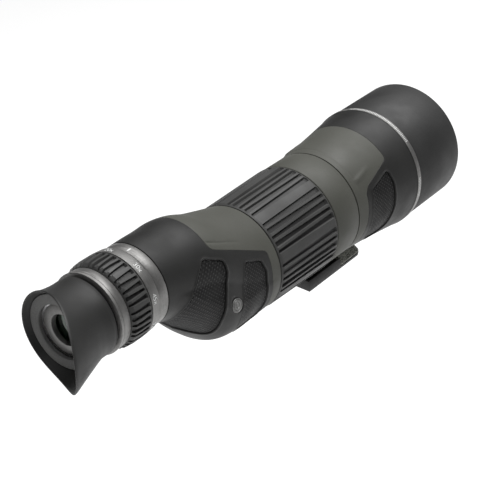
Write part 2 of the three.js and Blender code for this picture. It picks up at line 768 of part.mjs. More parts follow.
place(
  eyepiece, 'eyepiece_barrel',
  cut(
    turned(
      [
        [EYE_BARREL_BORE, -79], [EYE_BARREL_RADIUS, -79], [EYE_BARREL_RADIUS, -138.8], [14.6, -138.8],
        [14.6, -131], [EYE_BARREL_BORE, -131],
      ],
    ),
    ...ZOOM_CELLS.map(({ side, low, high }) =>
      block(
        2 * (ZOOM_PIN_RADIUS + GAP), high - low + 2 * (ZOOM_PIN_RADIUS + GAP), 6,
        0, (low + high) / 2, side * (EYE_BARREL_RADIUS - 1),
      ),
    ),
  ),
  aluminium,
);
place(
  eyepiece, 'index_ring',
  turned(
    [
      [EYE_BARREL_RADIUS + GAP, INDEX_REAR], [23.4, INDEX_REAR], [23.8, FLANGE_STATION - 0.4],
      [EYE_BARREL_RADIUS + GAP, FLANGE_STATION - 0.4],
    ],
    OUTER_SIDES,
  ),
  gunmetal,
);
place(
  eyepiece, 'eyepiece_rear_ring',
  turned(
    [
      [CAM_TUBE_RADIUS + 0.5, REAR_RING_REAR], [23.4, REAR_RING_REAR], [22.8, GRIP_REAR - GAP],
      [CAM_TUBE_RADIUS + 0.5, GRIP_REAR - GAP],
    ],
    OUTER_SIDES,
  ),
  gunmetal,
);
place(eyepiece, 'field_stop', tube(10, EYE_BARREL_BORE - GAP, -80.5, -79.5), blackMetal);
place(eyepiece, 'eye_lens', lens(14.3, -134.4, -131.6, 1.2, 1.6), glass);
place(eyepiece, 'eye_lens_ring', tube(8.6, 14.3, -138.9, -136), gunmetal);

// ---------------------------------------------------------------- zoom ring and its lens cells

const camSlot = ({ side, low, high }) =>
  helixCutter(
    2 * (ZOOM_PIN_RADIUS + GAP), 15, 22, 90 * side + ZOOM_REST_TURN - ZOOM_TURN, high, ZOOM_TURN, low - high,
  );
place(
  eyepiece, 'zoom_cam_tube',
  cut(
    tube(EYE_BARREL_RADIUS + GAP, CAM_TUBE_RADIUS, -114, -94),
    ...ZOOM_CELLS.map(camSlot),
  ),
  brass,
);
const SLEEVE_BORE = CAM_TUBE_RADIUS + GAP;
const SLEEVE_RADIUS = 21;
place(
  eyepiece, 'zoom_scale_ring',
  turned(
    [
      [SLEEVE_BORE, GRIP_REAR + 0.2], [SLEEVE_RADIUS, GRIP_REAR + 0.2], [SLEEVE_RADIUS, SCALE_REAR],
      [24.9, SCALE_REAR], [24.6, SCALE_FRONT], [SLEEVE_BORE, SCALE_FRONT],
    ],
    OUTER_SIDES,
  ),
  gunmetal,
);
place(
  eyepiece, 'zoom_grip',
  turned(
    [
      [SLEEVE_RADIUS + GAP, GRIP_REAR], [22.9, GRIP_REAR], [24.6, GRIP_REAR + 2], [25, GRIP_REAR + 6],
      [25, SCALE_REAR - 1.5], [24.6, SCALE_REAR - GAP], [SLEEVE_RADIUS + GAP, SCALE_REAR - GAP],
    ],
    OUTER_SIDES,
  ),
  gripRubber,
);
const CELL_BORE = 13;
const CELL_LENGTH = 11.5;
const CELL_TAIL = 2.5; // the cell reaches this far past its pin
for (const { name, side, low, high } of ZOOM_CELLS) {
  const pin = low + ((high - low) * ZOOM_REST_TURN) / ZOOM_TURN;
  const near = pin - side * CELL_TAIL;
  const far = near + side * CELL_LENGTH;
  place(
    eyepiece, `zoom_cell_${name}`,
    turned([
      [CELL_BORE - 1.5, near], [EYE_BARREL_BORE - GAP, near], [EYE_BARREL_BORE - GAP, far],
      [CELL_BORE, far], [CELL_BORE, near + side], [CELL_BORE - 1.5, near + side],
    ]),
    blackMetal,
  );
  const seat = near + side * 2.6;
  const back = seat + side * 3.4;
  const glassShape = lens(CELL_BORE - GAP, Math.min(seat, back), Math.max(seat, back), 1, 1.2);
  place(eyepiece, `zoom_lens_${name}`, glassShape, glass);
  place(
    eyepiece, `zoom_pin_${name}`,
    radialPin(ZOOM_PIN_RADIUS, EYE_BARREL_BORE, CAM_TUBE_RADIUS - 0.2, 90 * side, pin, 12),
    steel,
  );
}

// ---------------------------------------------------------------- eyecup

place(
  eyepiece, 'eyecup_helicoid',
  tube(EYE_BARREL_RADIUS + GAP, CAM_TUBE_RADIUS + 0.2, -138.5, -114.8),
  plastic,
);
place(
  eyepiece, 'eyecup_core',
  turned(
    [
      [CAM_TUBE_RADIUS + 0.5, CUP_FRONT - 0.3], [21, CUP_FRONT - 0.3], [21, CUP_FLOOR],
      [15.3, CUP_FLOOR], [15.3, CUP_FLOOR + 2.2], [CAM_TUBE_RADIUS + 0.5, CUP_FLOOR + 2.2],
    ],
  ),
  plastic,
);

// Share of the wing at an angle round the cup: 1 at the wing's middle, which points to +X, 0 on the far side.
const wingShare = (angle) => Math.max(0, Math.cos(angle / 2.25)) ** 8;

// The rubber cup is turned first and then its rear is drawn out into the wing.
function wingedCup() {
  const outside = [[22.4, CUP_FRONT], [22.3, -130], [22.7, -136], [23.4, -140.5], [24.4, CUP_RIM + 0.6]];
  const rim = [[24.3, CUP_RIM], [23.4, CUP_RIM + 0.2]];
  const inside = [[22, CUP_FLOOR - 0.3], [21.3, CUP_FLOOR + 0.4], [21.3, CUP_FRONT]];
  const cup = turned([...outside, ...rim, ...inside], 40);
  const points = cup.attributes.position;
  const start = -129;
  for (let i = 0; i < points.count; i += 1) {
    const [x, y, z] = [points.getX(i), points.getY(i), points.getZ(i)];
    const depth = THREE.MathUtils.clamp((start - y) / (start - CUP_RIM), 0, 1);
    const share = wingShare(Math.atan2(z, x)) * depth ** 2;
    const innerWall = Math.hypot(x, z) < 21.9 && y > CUP_FLOOR - 0.1;
    if (!innerWall) {
      const stretch = 1 + (WING_FLARE * share) / Math.hypot(x, z);
      points.setXYZ(i, x * stretch, y - WING_REACH * share * depth, z * stretch);
    }
  }
  return cup;
}
place(eyepiece, 'eyecup', wingedCup(), gripRubber);

export default scope;
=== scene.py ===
"""Looks of the spotting scope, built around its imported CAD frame.

Pieces are drawn in millimetres as (x, station, height): the station counts along the optical axis from the
rear edge of the focus ring and the height from the main optical axis, as in the CAD part. make() moves them
into the row frame in metres.
"""
import json
import math

import bmesh
import bpy
import numpy as np
from mathutils import Matrix, Vector, noise
from mathutils.geometry import delaunay_2d_cdt


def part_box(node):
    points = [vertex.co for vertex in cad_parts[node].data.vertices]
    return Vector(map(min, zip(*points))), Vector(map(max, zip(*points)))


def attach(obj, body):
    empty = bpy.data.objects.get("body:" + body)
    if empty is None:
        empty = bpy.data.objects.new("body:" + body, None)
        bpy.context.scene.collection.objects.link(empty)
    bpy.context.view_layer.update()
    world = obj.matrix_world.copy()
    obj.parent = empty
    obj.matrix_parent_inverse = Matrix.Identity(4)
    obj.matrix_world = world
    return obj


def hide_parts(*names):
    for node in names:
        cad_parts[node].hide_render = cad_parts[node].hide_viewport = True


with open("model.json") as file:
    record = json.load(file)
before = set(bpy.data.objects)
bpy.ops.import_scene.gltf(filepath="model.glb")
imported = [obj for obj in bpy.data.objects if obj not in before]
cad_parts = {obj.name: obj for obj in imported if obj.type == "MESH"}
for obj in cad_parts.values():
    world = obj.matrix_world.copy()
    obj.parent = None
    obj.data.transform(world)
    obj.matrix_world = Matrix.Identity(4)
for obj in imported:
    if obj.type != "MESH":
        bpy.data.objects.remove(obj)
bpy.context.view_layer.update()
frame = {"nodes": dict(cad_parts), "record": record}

MM = 0.001
WELD = 0.00001
core_low, core_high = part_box("focus_core")
eye_low, eye_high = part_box("eyepiece_barrel")
AXIS = (core_low.z + core_high.z) / 2 / MM
START = core_low.y / MM - 0.2
EYE = (eye_low.z + eye_high.z) / 2 / MM - AXIS
SLOT_OF = {part["node"]: part["material_slot"] for part in frame["record"]["subparts"]}
BODY_OF = {node: body for body, nodes in frame["record"]["behaviour"]["bodies"].items() for node in nodes}

# ------------------------------------------------------------------ camera, light and floor

AZIMUTH, ELEVATION = math.radians(37.61), math.radians(31.45)
RIGHT = Vector((math.cos(AZIMUTH), math.sin(AZIMUTH), 0))
BACK = Vector((
    math.sin(AZIMUTH) * math.cos(ELEVATION),
    -math.cos(AZIMUTH) * math.cos(ELEVATION),
    math.sin(ELEVATION),
))
UP = BACK.cross(RIGHT)


def add_camera():
    data = bpy.data.cameras.new("camera")
    data.lens = 101.58
    data.sensor_width = 36
    data.clip_end = 20
    camera = bpy.data.objects.new("camera", data)
    bpy.context.scene.collection.objects.link(camera)
    aim = Vector((0, START, AXIS)) + 2.57 * RIGHT + 10.36 * UP
    turn = Matrix((RIGHT, UP, BACK)).transposed().to_4x4()
    camera.matrix_world = Matrix.Translation((aim + 780.5 * BACK) * MM) @ turn
    bpy.context.scene.camera = camera


def area_light(name, place, target, size, power, color=(1, 1, 1)):
    data = bpy.data.lights.new(name, "AREA")
    data.shape = "RECTANGLE"
    data.size, data.size_y = size
    data.energy = power
    data.color = color
    light = bpy.data.objects.new(name, data)
    bpy.context.scene.collection.objects.link(light)
    light.location = place
    facing = Vector(place) - Vector(target)
    light.rotation_euler = facing.to_track_quat("Z", "Y").to_euler()


def add_studio():
    middle = (0, -0.06, 0.05)
    area_light("key_softbox", (0.0, 1.0, 2.0), middle, (1.8, 1.8), 32)
    area_light("top_softbox", (0.0, 0.1, 1.8), middle, (0.9, 1.8), 28)
    world = bpy.data.worlds.new("studio")
    world.use_nodes = True
    background = world.node_tree.nodes["Background"]
    background.inputs["Color"].default_value = (1, 1, 1, 1)
    background.inputs["Strength"].default_value = 0.05
    bpy.context.scene.world = world
    bpy.context.scene.view_settings.view_transform = "Standard"


# ------------------------------------------------------------------ materials

MATERIALS = {}


class Finish:
    """A Principled material whose colour, roughness and bump come from procedural nodes."""

    def __init__(self, name, color, roughness, metallic=0.0, **fixed):
        self.material = bpy.data.materials.new(name)
        self.material.use_nodes = True
        self.tree = self.material.node_tree
        self.shader = self.tree.nodes["Principled BSDF"]
        self.shader.inputs["Metallic"].default_value = metallic
        for socket, value in fixed.items():
            self.shader.inputs[socket.replace("_", " ")].default_value = value
        self.coords = self.node("ShaderNodeTexCoord").outputs["Object"]
        self.color = self.rgb(color)
        self.roughness = roughness
        self.height = None
        MATERIALS[name] = self.material

    def node(self, kind, **settings):
        node = self.tree.nodes.new(kind)
        for key, value in settings.items():
            setattr(node, key, value)
        return node

    def rgb(self, color):
        node = self.node("ShaderNodeRGB")
        node.outputs[0].default_value = (*color, 1)
        return node.outputs[0]

    def link(self, a, b):
        self.tree.links.new(a, b)

    def stretched(self, scale):
        mapping = self.node("ShaderNodeMapping")
        mapping.inputs["Scale"].default_value = scale
        self.link(self.coords, mapping.inputs["Vector"])
        return mapping.outputs["Vector"]

    def noise(self, scale, detail=4, stretch=None):
        node = self.node("ShaderNodeTexNoise")
        node.inputs["Scale"].default_value = scale
        node.inputs["Detail"].default_value = detail
        self.link(self.stretched(stretch) if stretch else self.coords, node.inputs["Vector"])
        return node.outputs["Fac"]

    def cells(self, scale, stretch=None):
        node = self.node("ShaderNodeTexVoronoi")
        node.inputs["Scale"].default_value = scale
        self.link(self.stretched(stretch) if stretch else self.coords, node.inputs["Vector"])
        return node.outputs["Distance"]

    def ramp(self, value, low, high, out_low=0.0, out_high=1.0):
        node = self.node("ShaderNodeMapRange")
        for key, number in (("From Min", low), ("From Max", high), ("To Min", out_low), ("To Max", out_high)):
            node.inputs[key].default_value = number
        self.link(value, node.inputs["Value"])
        return node.outputs["Result"]

    def tint(self, share, color):
        """Mixes a second colour in, by a 0 to 1 share."""
        mix = self.node("ShaderNodeMix", data_type="RGBA")
        self.link(share, mix.inputs["Factor"])
        self.link(self.color, mix.inputs[6])
        mix.inputs[7].default_value = (*color, 1)
        self.color = mix.outputs[2]
        return self

    def worn_edges(self, color, amount=0.5, low=0.53, high=0.62):
        """Convex edges rub lighter."""
        edges = self.ramp(self.pointiness(), low, high)
        patchy = self.math("MULTIPLY", edges, self.ramp(self.noise(900), 0.35, 0.7))
        return self.tint(self.math("MULTIPLY", patchy, amount), color)

    def painted_hollow_shade(self, color):
        """Painted shade: concave corners get a darker colour."""
        return self.tint(self.ramp(self.pointiness(), 0.42, 0.49, 1.0, 0.0), color)

    def pointiness(self):
        return self.node("ShaderNodeNewGeometry").outputs["Pointiness"]

    def math(self, operation, a, b):
        node = self.node("ShaderNodeMath", operation=operation)
        for socket, value in zip(node.inputs, (a, b)):
            if isinstance(value, (int, float)):
                socket.default_value = value
            else:
                self.link(value, socket)
        return node.outputs[0]

    def raise_by(self, value, weight):
        part = self.math("MULTIPLY", value, weight)
        self.height = part if self.height is None else self.math("ADD", self.height, part)
        return self

    def done(self, rough_from=None, spread=0.08, bump=0.3, distance=0.0002):
        self.link(self.color, self.shader.inputs["Base Color"])
        if rough_from is None:
            rough_from = self.noise(60)
        rough = self.ramp(rough_from, 0.3, 0.7, self.roughness - spread, self.roughness + spread)
        self.link(rough, self.shader.inputs["Roughness"])
        if self.height is not None:
            node = self.node("ShaderNodeBump")
            node.inputs["Strength"].default_value = bump
            node.inputs["Distance"].default_value = distance
            self.link(self.height, node.inputs["Height"])
            self.link(node.outputs["Normal"], self.shader.inputs["Normal"])
        return self.material


def brightened(color, factor):
    return tuple(min(1, c * factor) for c in color)


def painted(name, color, roughness):
    finish = Finish(name, color, roughness, Specular_IOR_Level=0.45)
    finish.tint(finish.ramp(finish.noise(35), 0.35, 0.7), brightened(color, 0.9))
    finish.tint(finish.ramp(finish.noise(2600, 2), 0.45, 0.8), brightened(color, 1.18))
    finish.worn_edges(brightened(color, 1.7), 0.35)
    finish.raise_by(finish.noise(1500, 3), 1.0).raise_by(finish.noise(300, 2), 0.6)
    return finish.done(bump=0.12)


def rubbery(name, color, roughness, grain=2200):
    finish = Finish(name, color, roughness, Specular_IOR_Level=0.4)
    finish.tint(finish.ramp(finish.noise(28), 0.35, 0.7), brightened(color, 1.25))
    finish.tint(finish.ramp(finish.noise(grain, 2), 0.5, 0.8), brightened(color, 0.75))
    finish.worn_edges(brightened(color, 2.4), 0.3)
    finish.raise_by(finish.cells(grain), 1.0).raise_by(finish.noise(grain * 0.6, 3), 0.8)
    return finish.done(bump=0.18)


def grooved(name, color, roughness):
    """Rubber ribs, with painted shade down in their grooves."""
    finish = Finish(name, color, roughness, Specular_IOR_Level=0.4)
    finish.tint(finish.ramp(finish.noise(28), 0.35, 0.7), brightened(color, 1.25))
    # painted shade: the grooves' concave floors get a darker colour
    finish.painted_hollow_shade(brightened(color, 0.4))
    finish.worn_edges(brightened(color, 2.4), 0.3)
    finish.raise_by(finish.cells(1800), 1.0).raise_by(finish.noise(1100, 3), 0.8)
    return finish.done(bump=0.15)


PAD_ARC = 33  # how far from the optical axis the pads lie
KNURL_RUN = 1.25  # half the spacing of the pads' crossed grooves


def knurled(name, color, roughness):
    """Near-black rubber, crossed by two runs of fine grooves that leave diamond pyramids, their tips coloured lighter
    as a painted highlight.
    """
    finish = Finish(name, color, roughness, Specular_IOR_Level=0.3)
    axes = finish.node("ShaderNodeSeparateXYZ")
    finish.link(finish.coords, axes.inputs[0])
    height = finish.math("SUBTRACT", axes.outputs["Z"], AXIS * MM)
    angle = finish.math("ARCTAN2", height, finish.math("ABSOLUTE", axes.outputs["X"], 0))
    arc = finish.math("MULTIPLY", angle, PAD_ARC * MM)
    runs = [
        finish.math("PINGPONG", finish.math(operation, axes.outputs["Y"], arc), KNURL_RUN * MM)
        for operation in ("ADD", "SUBTRACT")
    ]
    pyramid = finish.math("DIVIDE", finish.math("MINIMUM", *runs), KNURL_RUN * MM)
    # painted highlight: the pyramids' tips get a much lighter colour
    finish.tint(finish.ramp(pyramid, 0.5, 0.95), brightened(color, 11))
    finish.tint(finish.ramp(finish.noise(400, 2), 0.5, 0.8), brightened(color, 0.7))
    finish.raise_by(pyramid, 1.0)
    return finish.done(bump=0.5, distance=0.0005)


def turned_metal(name, color, roughness, lines=0.6, metallic=1.0):
    """Fine turning lines run round the optical axis, over a soft mottle."""
    finish = Finish(name, color, roughness, metallic, Anisotropic=0.4)
    finish.tint(finish.ramp(finish.noise(3.2, 3, (15, 1500, 15)), 0.35, 0.7), brightened(color, 0.7))
    finish.tint(finish.ramp(finish.noise(90), 0.4, 0.75), brightened(color, 1.15))
    finish.worn_edges(brightened(color, 2.0), 0.5)
    finish.raise_by(finish.noise(3.2, 4, (15, 1500, 15)), lines)
    finish.raise_by(finish.noise(1200, 2), 0.35)
    return finish.done(bump=0.14)


def satin_black(name, color, roughness, metallic=0.4):
    finish = Finish(name, color, roughness, metallic, Specular_IOR_Level=0.5)
    finish.tint(finish.ramp(finish.noise(22), 0.35, 0.7), brightened(color, 1.3))
    finish.tint(finish.ramp(finish.noise(1800, 2), 0.5, 0.8), brightened(color, 0.7))
    finish.worn_edges(brightened(color, 3.5), 0.35)
    finish.raise_by(finish.noise(1400, 3), 1.0)
    return finish.done(bump=0.15)


def machined(name, color, roughness):
    finish = Finish(name, color, roughness, 1.0)
    finish.tint(finish.ramp(finish.noise(4, 3, (900, 20, 20)), 0.4, 0.7), brightened(color, 0.75))
    finish.worn_edges(brightened(color, 1.5), 0.4)
    finish.raise_by(finish.noise(4, 3, (900, 20, 20)), 1.0)
    return finish.done(bump=0.12)


def coated_glass(name, color):
    finish = Finish(
        name, color, 0.03, Transmission_Weight=1.0, IOR=1.52, Coat_Weight=0.6,
        Coat_Roughness=0.02, Coat_Tint=(0.75, 0.95, 0.8, 1),
    )
    finish.tint(finish.ramp(finish.noise(12), 0.4, 0.8), brightened(color, 0.97))
    return finish.done(spread=0.01)


def white_mark(name):
    finish = Finish(name, (0.78, 0.79, 0.78), 0.5)
    finish.tint(finish.ramp(finish.noise(2500, 2), 0.45, 0.75), (0.55, 0.55, 0.54))
    finish.raise_by(finish.noise(2500, 2), 1.0)
    return finish.done(bump=0.1)


def pebbled(name, color):
    """Coarse cast grain, with a painted highlight on its crests and painted shade in its pits."""
    finish = Finish(name, color, 0.5, Specular_IOR_Level=0.4)
    grain = finish.noise(1500, 1)
    # painted shade in the grain's pits, then a painted highlight on its crests
    finish.tint(finish.ramp(grain, 0.4, 0.54, 1.0, 0.0), brightened(color, 0.3))
    finish.tint(finish.ramp(grain, 0.55, 0.7), brightened(color, 1.7))
    finish.raise_by(grain, 1.0)
    return finish.done(bump=0.9, distance=0.0006)


def add_materials():
    painted("green_paint", (0.078, 0.079, 0.068), 0.6)
    rubbery("armour", (0.0185, 0.0185, 0.018), 0.56)
    grooved("grip_rubber", (0.055, 0.055, 0.054), 0.55)
    knurled("pad_rubber", (0.006, 0.006, 0.006), 0.6)
    rubbery("eyecup_rubber", (0.020, 0.020, 0.0195), 0.55, 3000)
    turned_metal("gunmetal", (0.24, 0.237, 0.232), 0.5, metallic=0.7)
    turned_metal("bare_aluminium", (0.6, 0.6, 0.61), 0.35)
    turned_metal("dark_metal", (0.2, 0.2, 0.196), 0.5, metallic=0.4)
    satin_black("black_anodised", (0.03, 0.03, 0.03), 0.58, 0.2)
    satin_black("black_plastic", (0.02, 0.02, 0.02), 0.5, 0.0)
    rubbery("cup_floor", (0.11, 0.11, 0.107), 0.6, 2500)
    # near-black: on the eyecup helicoid it is painted shade in the gap between the rear ring and the cup
    rubbery("black_seal", (0.004, 0.004, 0.004), 0.9)
    machined("steel", (0.5, 0.5, 0.51), 0.32)
    machined("brass", (0.55, 0.4, 0.16), 0.33)
    coated_glass("optical_glass", (0.93, 0.98, 0.95))
    white_mark("white_mark")
    pebbled("cast_green", (0.27, 0.275, 0.24))


# ------------------------------------------------------------------ mesh helpers


def to_row(points):
    """(x, station, height) in millimetres to the row frame in metres."""
    return (np.asarray(points, float) + (0, START, AXIS)) * MM


def make(name, points, faces, node, material=None, replaces=None, sharp=32, weld=False):
    """Makes one visible piece that rides on the node's body and stands for the nodes it replaces."""
    mesh = bpy.data.meshes.new(name)
    mesh.from_pydata(to_row(points).tolist(), [], faces)
    mesh.validate()
    work = bmesh.new()
    work.from_mesh(mesh)
    if weld:
        bmesh.ops.remove_doubles(work, verts=work.verts, dist=WELD)
    bmesh.ops.recalc_face_normals(work, faces=work.faces)
    work.to_mesh(mesh)
    work.free()
    mesh.shade_smooth()
    mesh.set_sharp_from_angle(angle=math.radians(sharp))
    piece = bpy.data.objects.new(name, mesh)
    bpy.context.scene.collection.objects.link(piece)
    mesh.materials.append(MATERIALS[material or SLOT_OF[node]])
    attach(piece, BODY_OF[node])
    if replaces is None:
        replaces = [node]
    if replaces:
        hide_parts(*replaces)
    return piece


def fillet(points, radius, steps=4, closed=True):
    """Rounds each corner of an outline. A point may carry its own radius as a third number."""
    out = []
    count = len(points)
    for i, point in enumerate(points):
        here = np.array(point[:2], float)
        size = point[2] if len(point) > 2 else radius
        if size <= 0 or (not closed and i in (0, count - 1)):
            out.append(tuple(here))
            continue
        before = np.array(points[i - 1][:2], float) - here
        after = np.array(points[(i + 1) % count][:2], float) - here
        a, b = np.linalg.norm(before), np.linalg.norm(after)
        before, after = before / a, after / b
        half = math.acos(max(-1, min(1, before.dot(after)))) / 2
        reach = min(size / max(math.tan(half), 1e-6), 0.45 * a, 0.45 * b)
        first, last = here + before * reach, here + after * reach
        for k in range(steps + 1):
            t = k / steps
            out.append(tuple((1 - t) ** 2 * first + 2 * t * (1 - t) * here + t * t * last))
    return out


def ring_faces(rows, columns, close_rows=True):
    """Quads of a grid whose columns wrap round; rows may wrap too."""
    index = np.arange(rows * columns).reshape(rows, columns)
    nxt = np.roll(index, -1, axis=1)
    a, b = (index, np.roll(index, -1, axis=0)) if close_rows else (index[:-1], index[1:])
    c, d = (np.roll(nxt, -1, axis=0), nxt) if close_rows else (nxt[1:], nxt[:-1])
    return np.stack([a, b, c, d], -1).reshape(-1, 4).tolist()


def revolve(name, outline, node, axis=0.0, sides=160, shape=None, **more):
    """Turns a closed outline of (radius, station) about the axis; shape() may then move its points."""
    outline = np.array(outline, float)
    angle = np.linspace(0, 2 * math.pi, sides, endpoint=False)
    radius = np.repeat(outline[:, :1], sides, axis=1)
    station = np.repeat(outline[:, 1:2], sides, axis=1)
    around = np.repeat(angle[None, :], len(outline), axis=0)
    if shape:
        radius, station = shape(radius, station, around)
    points = np.stack([radius * np.cos(around), station, axis + radius * np.sin(around)], -1)
    return make(name, points.reshape(-1, 3), ring_faces(len(outline), sides), node, **more)


def smoothstep(x, low, high):
    t = np.clip((x - low) / (high - low), 0, 1)
    return t * t * (3 - 2 * t)



def join_shells(*shells):
    """Gathers several (points, faces) shells into one."""
    points, faces, start = [], [], 0
    for shell_points, shell_faces in shells:
        points.append(np.asarray(shell_points, float))
        faces += [[corner + start for corner in face] for face in shell_faces]
        start += len(shell_points)
    return np.concatenate(points), faces


def offset_outline(outline, amount):
    """Moves a closed outline, listed anticlockwise, inwards by an amount."""
    outline = np.asarray(outline, float)
    before, after = outline - np.roll(outline, 1, 0), np.roll(outline, -1, 0) - outline
    before /= np.linalg.norm(before, axis=1)[:, None]
    after /= np.linalg.norm(after, axis=1)[:, None]
    normal = np.stack([-(before + after)[:, 1], (before + after)[:, 0]], -1)
    normal /= np.linalg.norm(normal, axis=1)[:, None]
    lean = np.clip((normal * np.stack([-after[:, 1], after[:, 0]], -1)).sum(1), 0.4, 1)
    return outline + normal * (amount / lean)[:, None]


def slab(outline, low, high, edge=0.4, steps=3):
    """An outline stretched between two levels, with rounded rims: points are (u, v, level)."""
    rings = []
    for level, direction in ((low, 1), (high, -1)):
        arc = [(edge * (1 - math.sin(a)), edge * (1 - math.cos(a))) for a in np.linspace(0, math.pi / 2, steps + 1)]
        part = [(inset, level + direction * rise) for inset, rise in arc]
        rings += part if direction > 0 else part[::-1]
    points = []
    for inset, level in rings:
        ring = offset_outline(outline, inset) if inset > 1e-6 else np.asarray(outline, float)
        points += [(u, v, level) for u, v in ring]
    count = len(outline)
    faces = ring_faces(len(rings), count, close_rows=False)
    faces += [list(range(count))[::-1], list(range(len(points) - count, len(points)))]
    return np.array(points), faces


def along_radius(points, angle, station):
    """Turns (u, v, level) points so that the level counts outwards along a radius of the main axis."""
    angle = math.radians(angle)
    u, v, level = np.asarray(points, float).T
    x = level * math.cos(angle) - u * math.sin(angle)
    z = level * math.sin(angle) + u * math.cos(angle)
    return np.stack([x, station + v, z], -1)


def circle(radius, count=64):
    return [(radius * math.cos(a), radius * math.sin(a)) for a in np.linspace(0, 2 * math.pi, count, endpoint=False)]


# ------------------------------------------------------------------ skins with regions cut out of them


def resample(points, step, closed=True):
    points = [np.array(p, float) for p in points]
    pairs = zip(points, points[1:] + points[:1]) if closed else zip(points, points[1:])
    out = []
    for a, b in pairs:
        count = max(1, math.ceil(np.linalg.norm(b - a) / step))
        out += [a + (b - a) * k / count for k in range(count)]
    if not closed:
        out.append(points[-1])
    return np.array(out)


def distance(points, starts, ends):
    """The least distance from each point to any of the segments."""
    best = np.full(len(points), 1e9)
    for a, b in zip(starts, ends):
        along = b - a
        share = np.clip(((points - a) @ along) / max(along @ along, 1e-12), 0, 1)
        best = np.minimum(best, np.linalg.norm(points - a - share[:, None] * along, axis=1))
    return best


def inside(points, loops):
    odd = np.zeros(len(points), bool)
    for loop in loops:
        for (x0, y0), (x1, y1) in zip(loop, np.roll(loop, -1, 0)):
            if y0 == y1:
                continue
            crosses = (points[:, 1] < y0) != (points[:, 1] < y1)
            odd ^= crosses & (points[:, 0] < x0 + (points[:, 1] - y0) * (x1 - x0) / (y1 - y0))
    return odd


def triangulate(loops, interior):
    """Constrained triangles over the region between the loops; the loops' points come first."""
    points = np.concatenate([*loops, interior]) if len(interior) else np.concatenate(loops)
    edges, start = [], 0
    for loop in loops:
        edges += [(start + i, start + (i + 1) % len(loop)) for i in range(len(loop))]
        start += len(loop)
    flat = [Vector(p) for p in points]
    verts, _, faces, *_ = delaunay_2d_cdt(flat, edges, [], 0, 1e-7)
    verts = np.array([tuple(v) for v in verts])
    faces = np.array([list(f) for f in faces if len(f) == 3])
    keep = inside(verts[faces].mean(1), loops)
    return verts, faces[keep].tolist()


CENTRE_ARC = math.pi / 2


class Skin:
    """A shell round the axis, drawn flat as (station, arc) where arc is the angle times a mean radius."""

    def __init__(self, point_at, radius):
        self.point_at = point_at
        self.radius = radius

    def arc(self, degrees):
        return math.radians(degrees) * self.radius

    def side_view(self, points, step=0.8):
        """Maps a side-view polyline of (station, height) on the right half to (station, arc)."""
        out = []
        angles = np.linspace(-CENTRE_ARC, CENTRE_ARC, 241)
        for station, height in resample(points, step, closed=False):
            heights = self.point_at(np.full(241, station), angles)[:, 2]
            out.append((station, np.interp(height, heights, angles) * self.radius))
        return out

    def surface(self, flat, lift):
        station, angle = flat[:, 0], flat[:, 1] / self.radius
        here = self.point_at(station, angle)
        small = 1e-3
        along = self.point_at(station + small, angle) - self.point_at(station - small, angle)
        around = self.point_at(station, angle + small) - self.point_at(station, angle - small)
        normal = np.cross(along, around)
        normal /= np.linalg.norm(normal, axis=1)[:, None]
        return here + normal * np.asarray(lift).reshape(-1, 1)

    def shell(self, loops, interior, lift, thick, coarse=3.0):
        """One half of the skin: its raised face, a plain inner face and the rims that join them."""
        top, top_faces = triangulate(loops, interior)
        rim_count = sum(len(loop) for loop in loops)
        rough = grid_inside(loops, coarse, coarse * 0.5)
        low, low_faces = triangulate(loops, rough)
        top_points = self.surface(top, lift(top))
        low_points = self.surface(low, np.full(len(low), -thick))
        points = np.concatenate([top_points, low_points])
        shift = len(top_points)
        faces = top_faces + [[c + shift for c in face[::-1]] for face in low_faces]
        limit = CENTRE_ARC * self.radius - 1e-3
        start = 0
        for loop in loops:
            for i in range(len(loop)):
                a, b = start + i, start + (i + 1) % len(loop)
                if not (abs(top[a][1]) > limit and abs(top[b][1]) > limit and top[a][1] * top[b][1] > 0):
                    faces.append([a, b, b + shift, a + shift])
            start += len(loop)
        assert start == rim_count
        return points, faces

    def real_edges(self, loops):
        """The segments of the loops that are real rims, not the joint between the two halves."""
        limit = CENTRE_ARC * self.radius - 1e-3
        starts = np.concatenate(loops)
        ends = np.concatenate([np.roll(loop, -1, 0) for loop in loops])
        real = ~((abs(starts[:, 1]) > limit) & (abs(ends[:, 1]) > limit))
        return starts[real], ends[real]


def grid_inside(loops, step, clear, slant=False):
    """Grid points between the loops and clear of them; a slanted grid lies on the diagonals."""
    everything = np.concatenate(loops)
    low, high = everything.min(0), everything.max(0)
    if slant:
        reach = int(np.linalg.norm(high - low) / step) + 2
        i, j = np.meshgrid(np.arange(-reach, reach), np.arange(-reach, reach))
        middle = (low + high) / 2
        root = math.sqrt(0.5)
        skewed = i + 0.03 * j  # tips the cells' diagonals all one way
        points = np.stack([(skewed - j) * root * step, (skewed + j) * root * step], -1).reshape(-1, 2) + middle
        peaks = ((i % 2 == 0) & (j % 2 == 0)).reshape(-1)
    else:
        xs, ys = np.arange(low[0], high[0], step), np.arange(low[1], high[1], step)
        x, y = np.meshgrid(xs, ys)
        x[1::2] += step / 2
        points = np.stack([x, y], -1).reshape(-1, 2)
        peaks = np.zeros(len(points), bool)
    keep = inside(points, loops)
    points, peaks = points[keep], peaks[keep]
    starts = everything
    ends = np.concatenate([np.roll(loop, -1, 0) for loop in loops])
    keep = distance(points, starts, ends) > clear
    return (points[keep], peaks[keep]) if slant else points[keep]


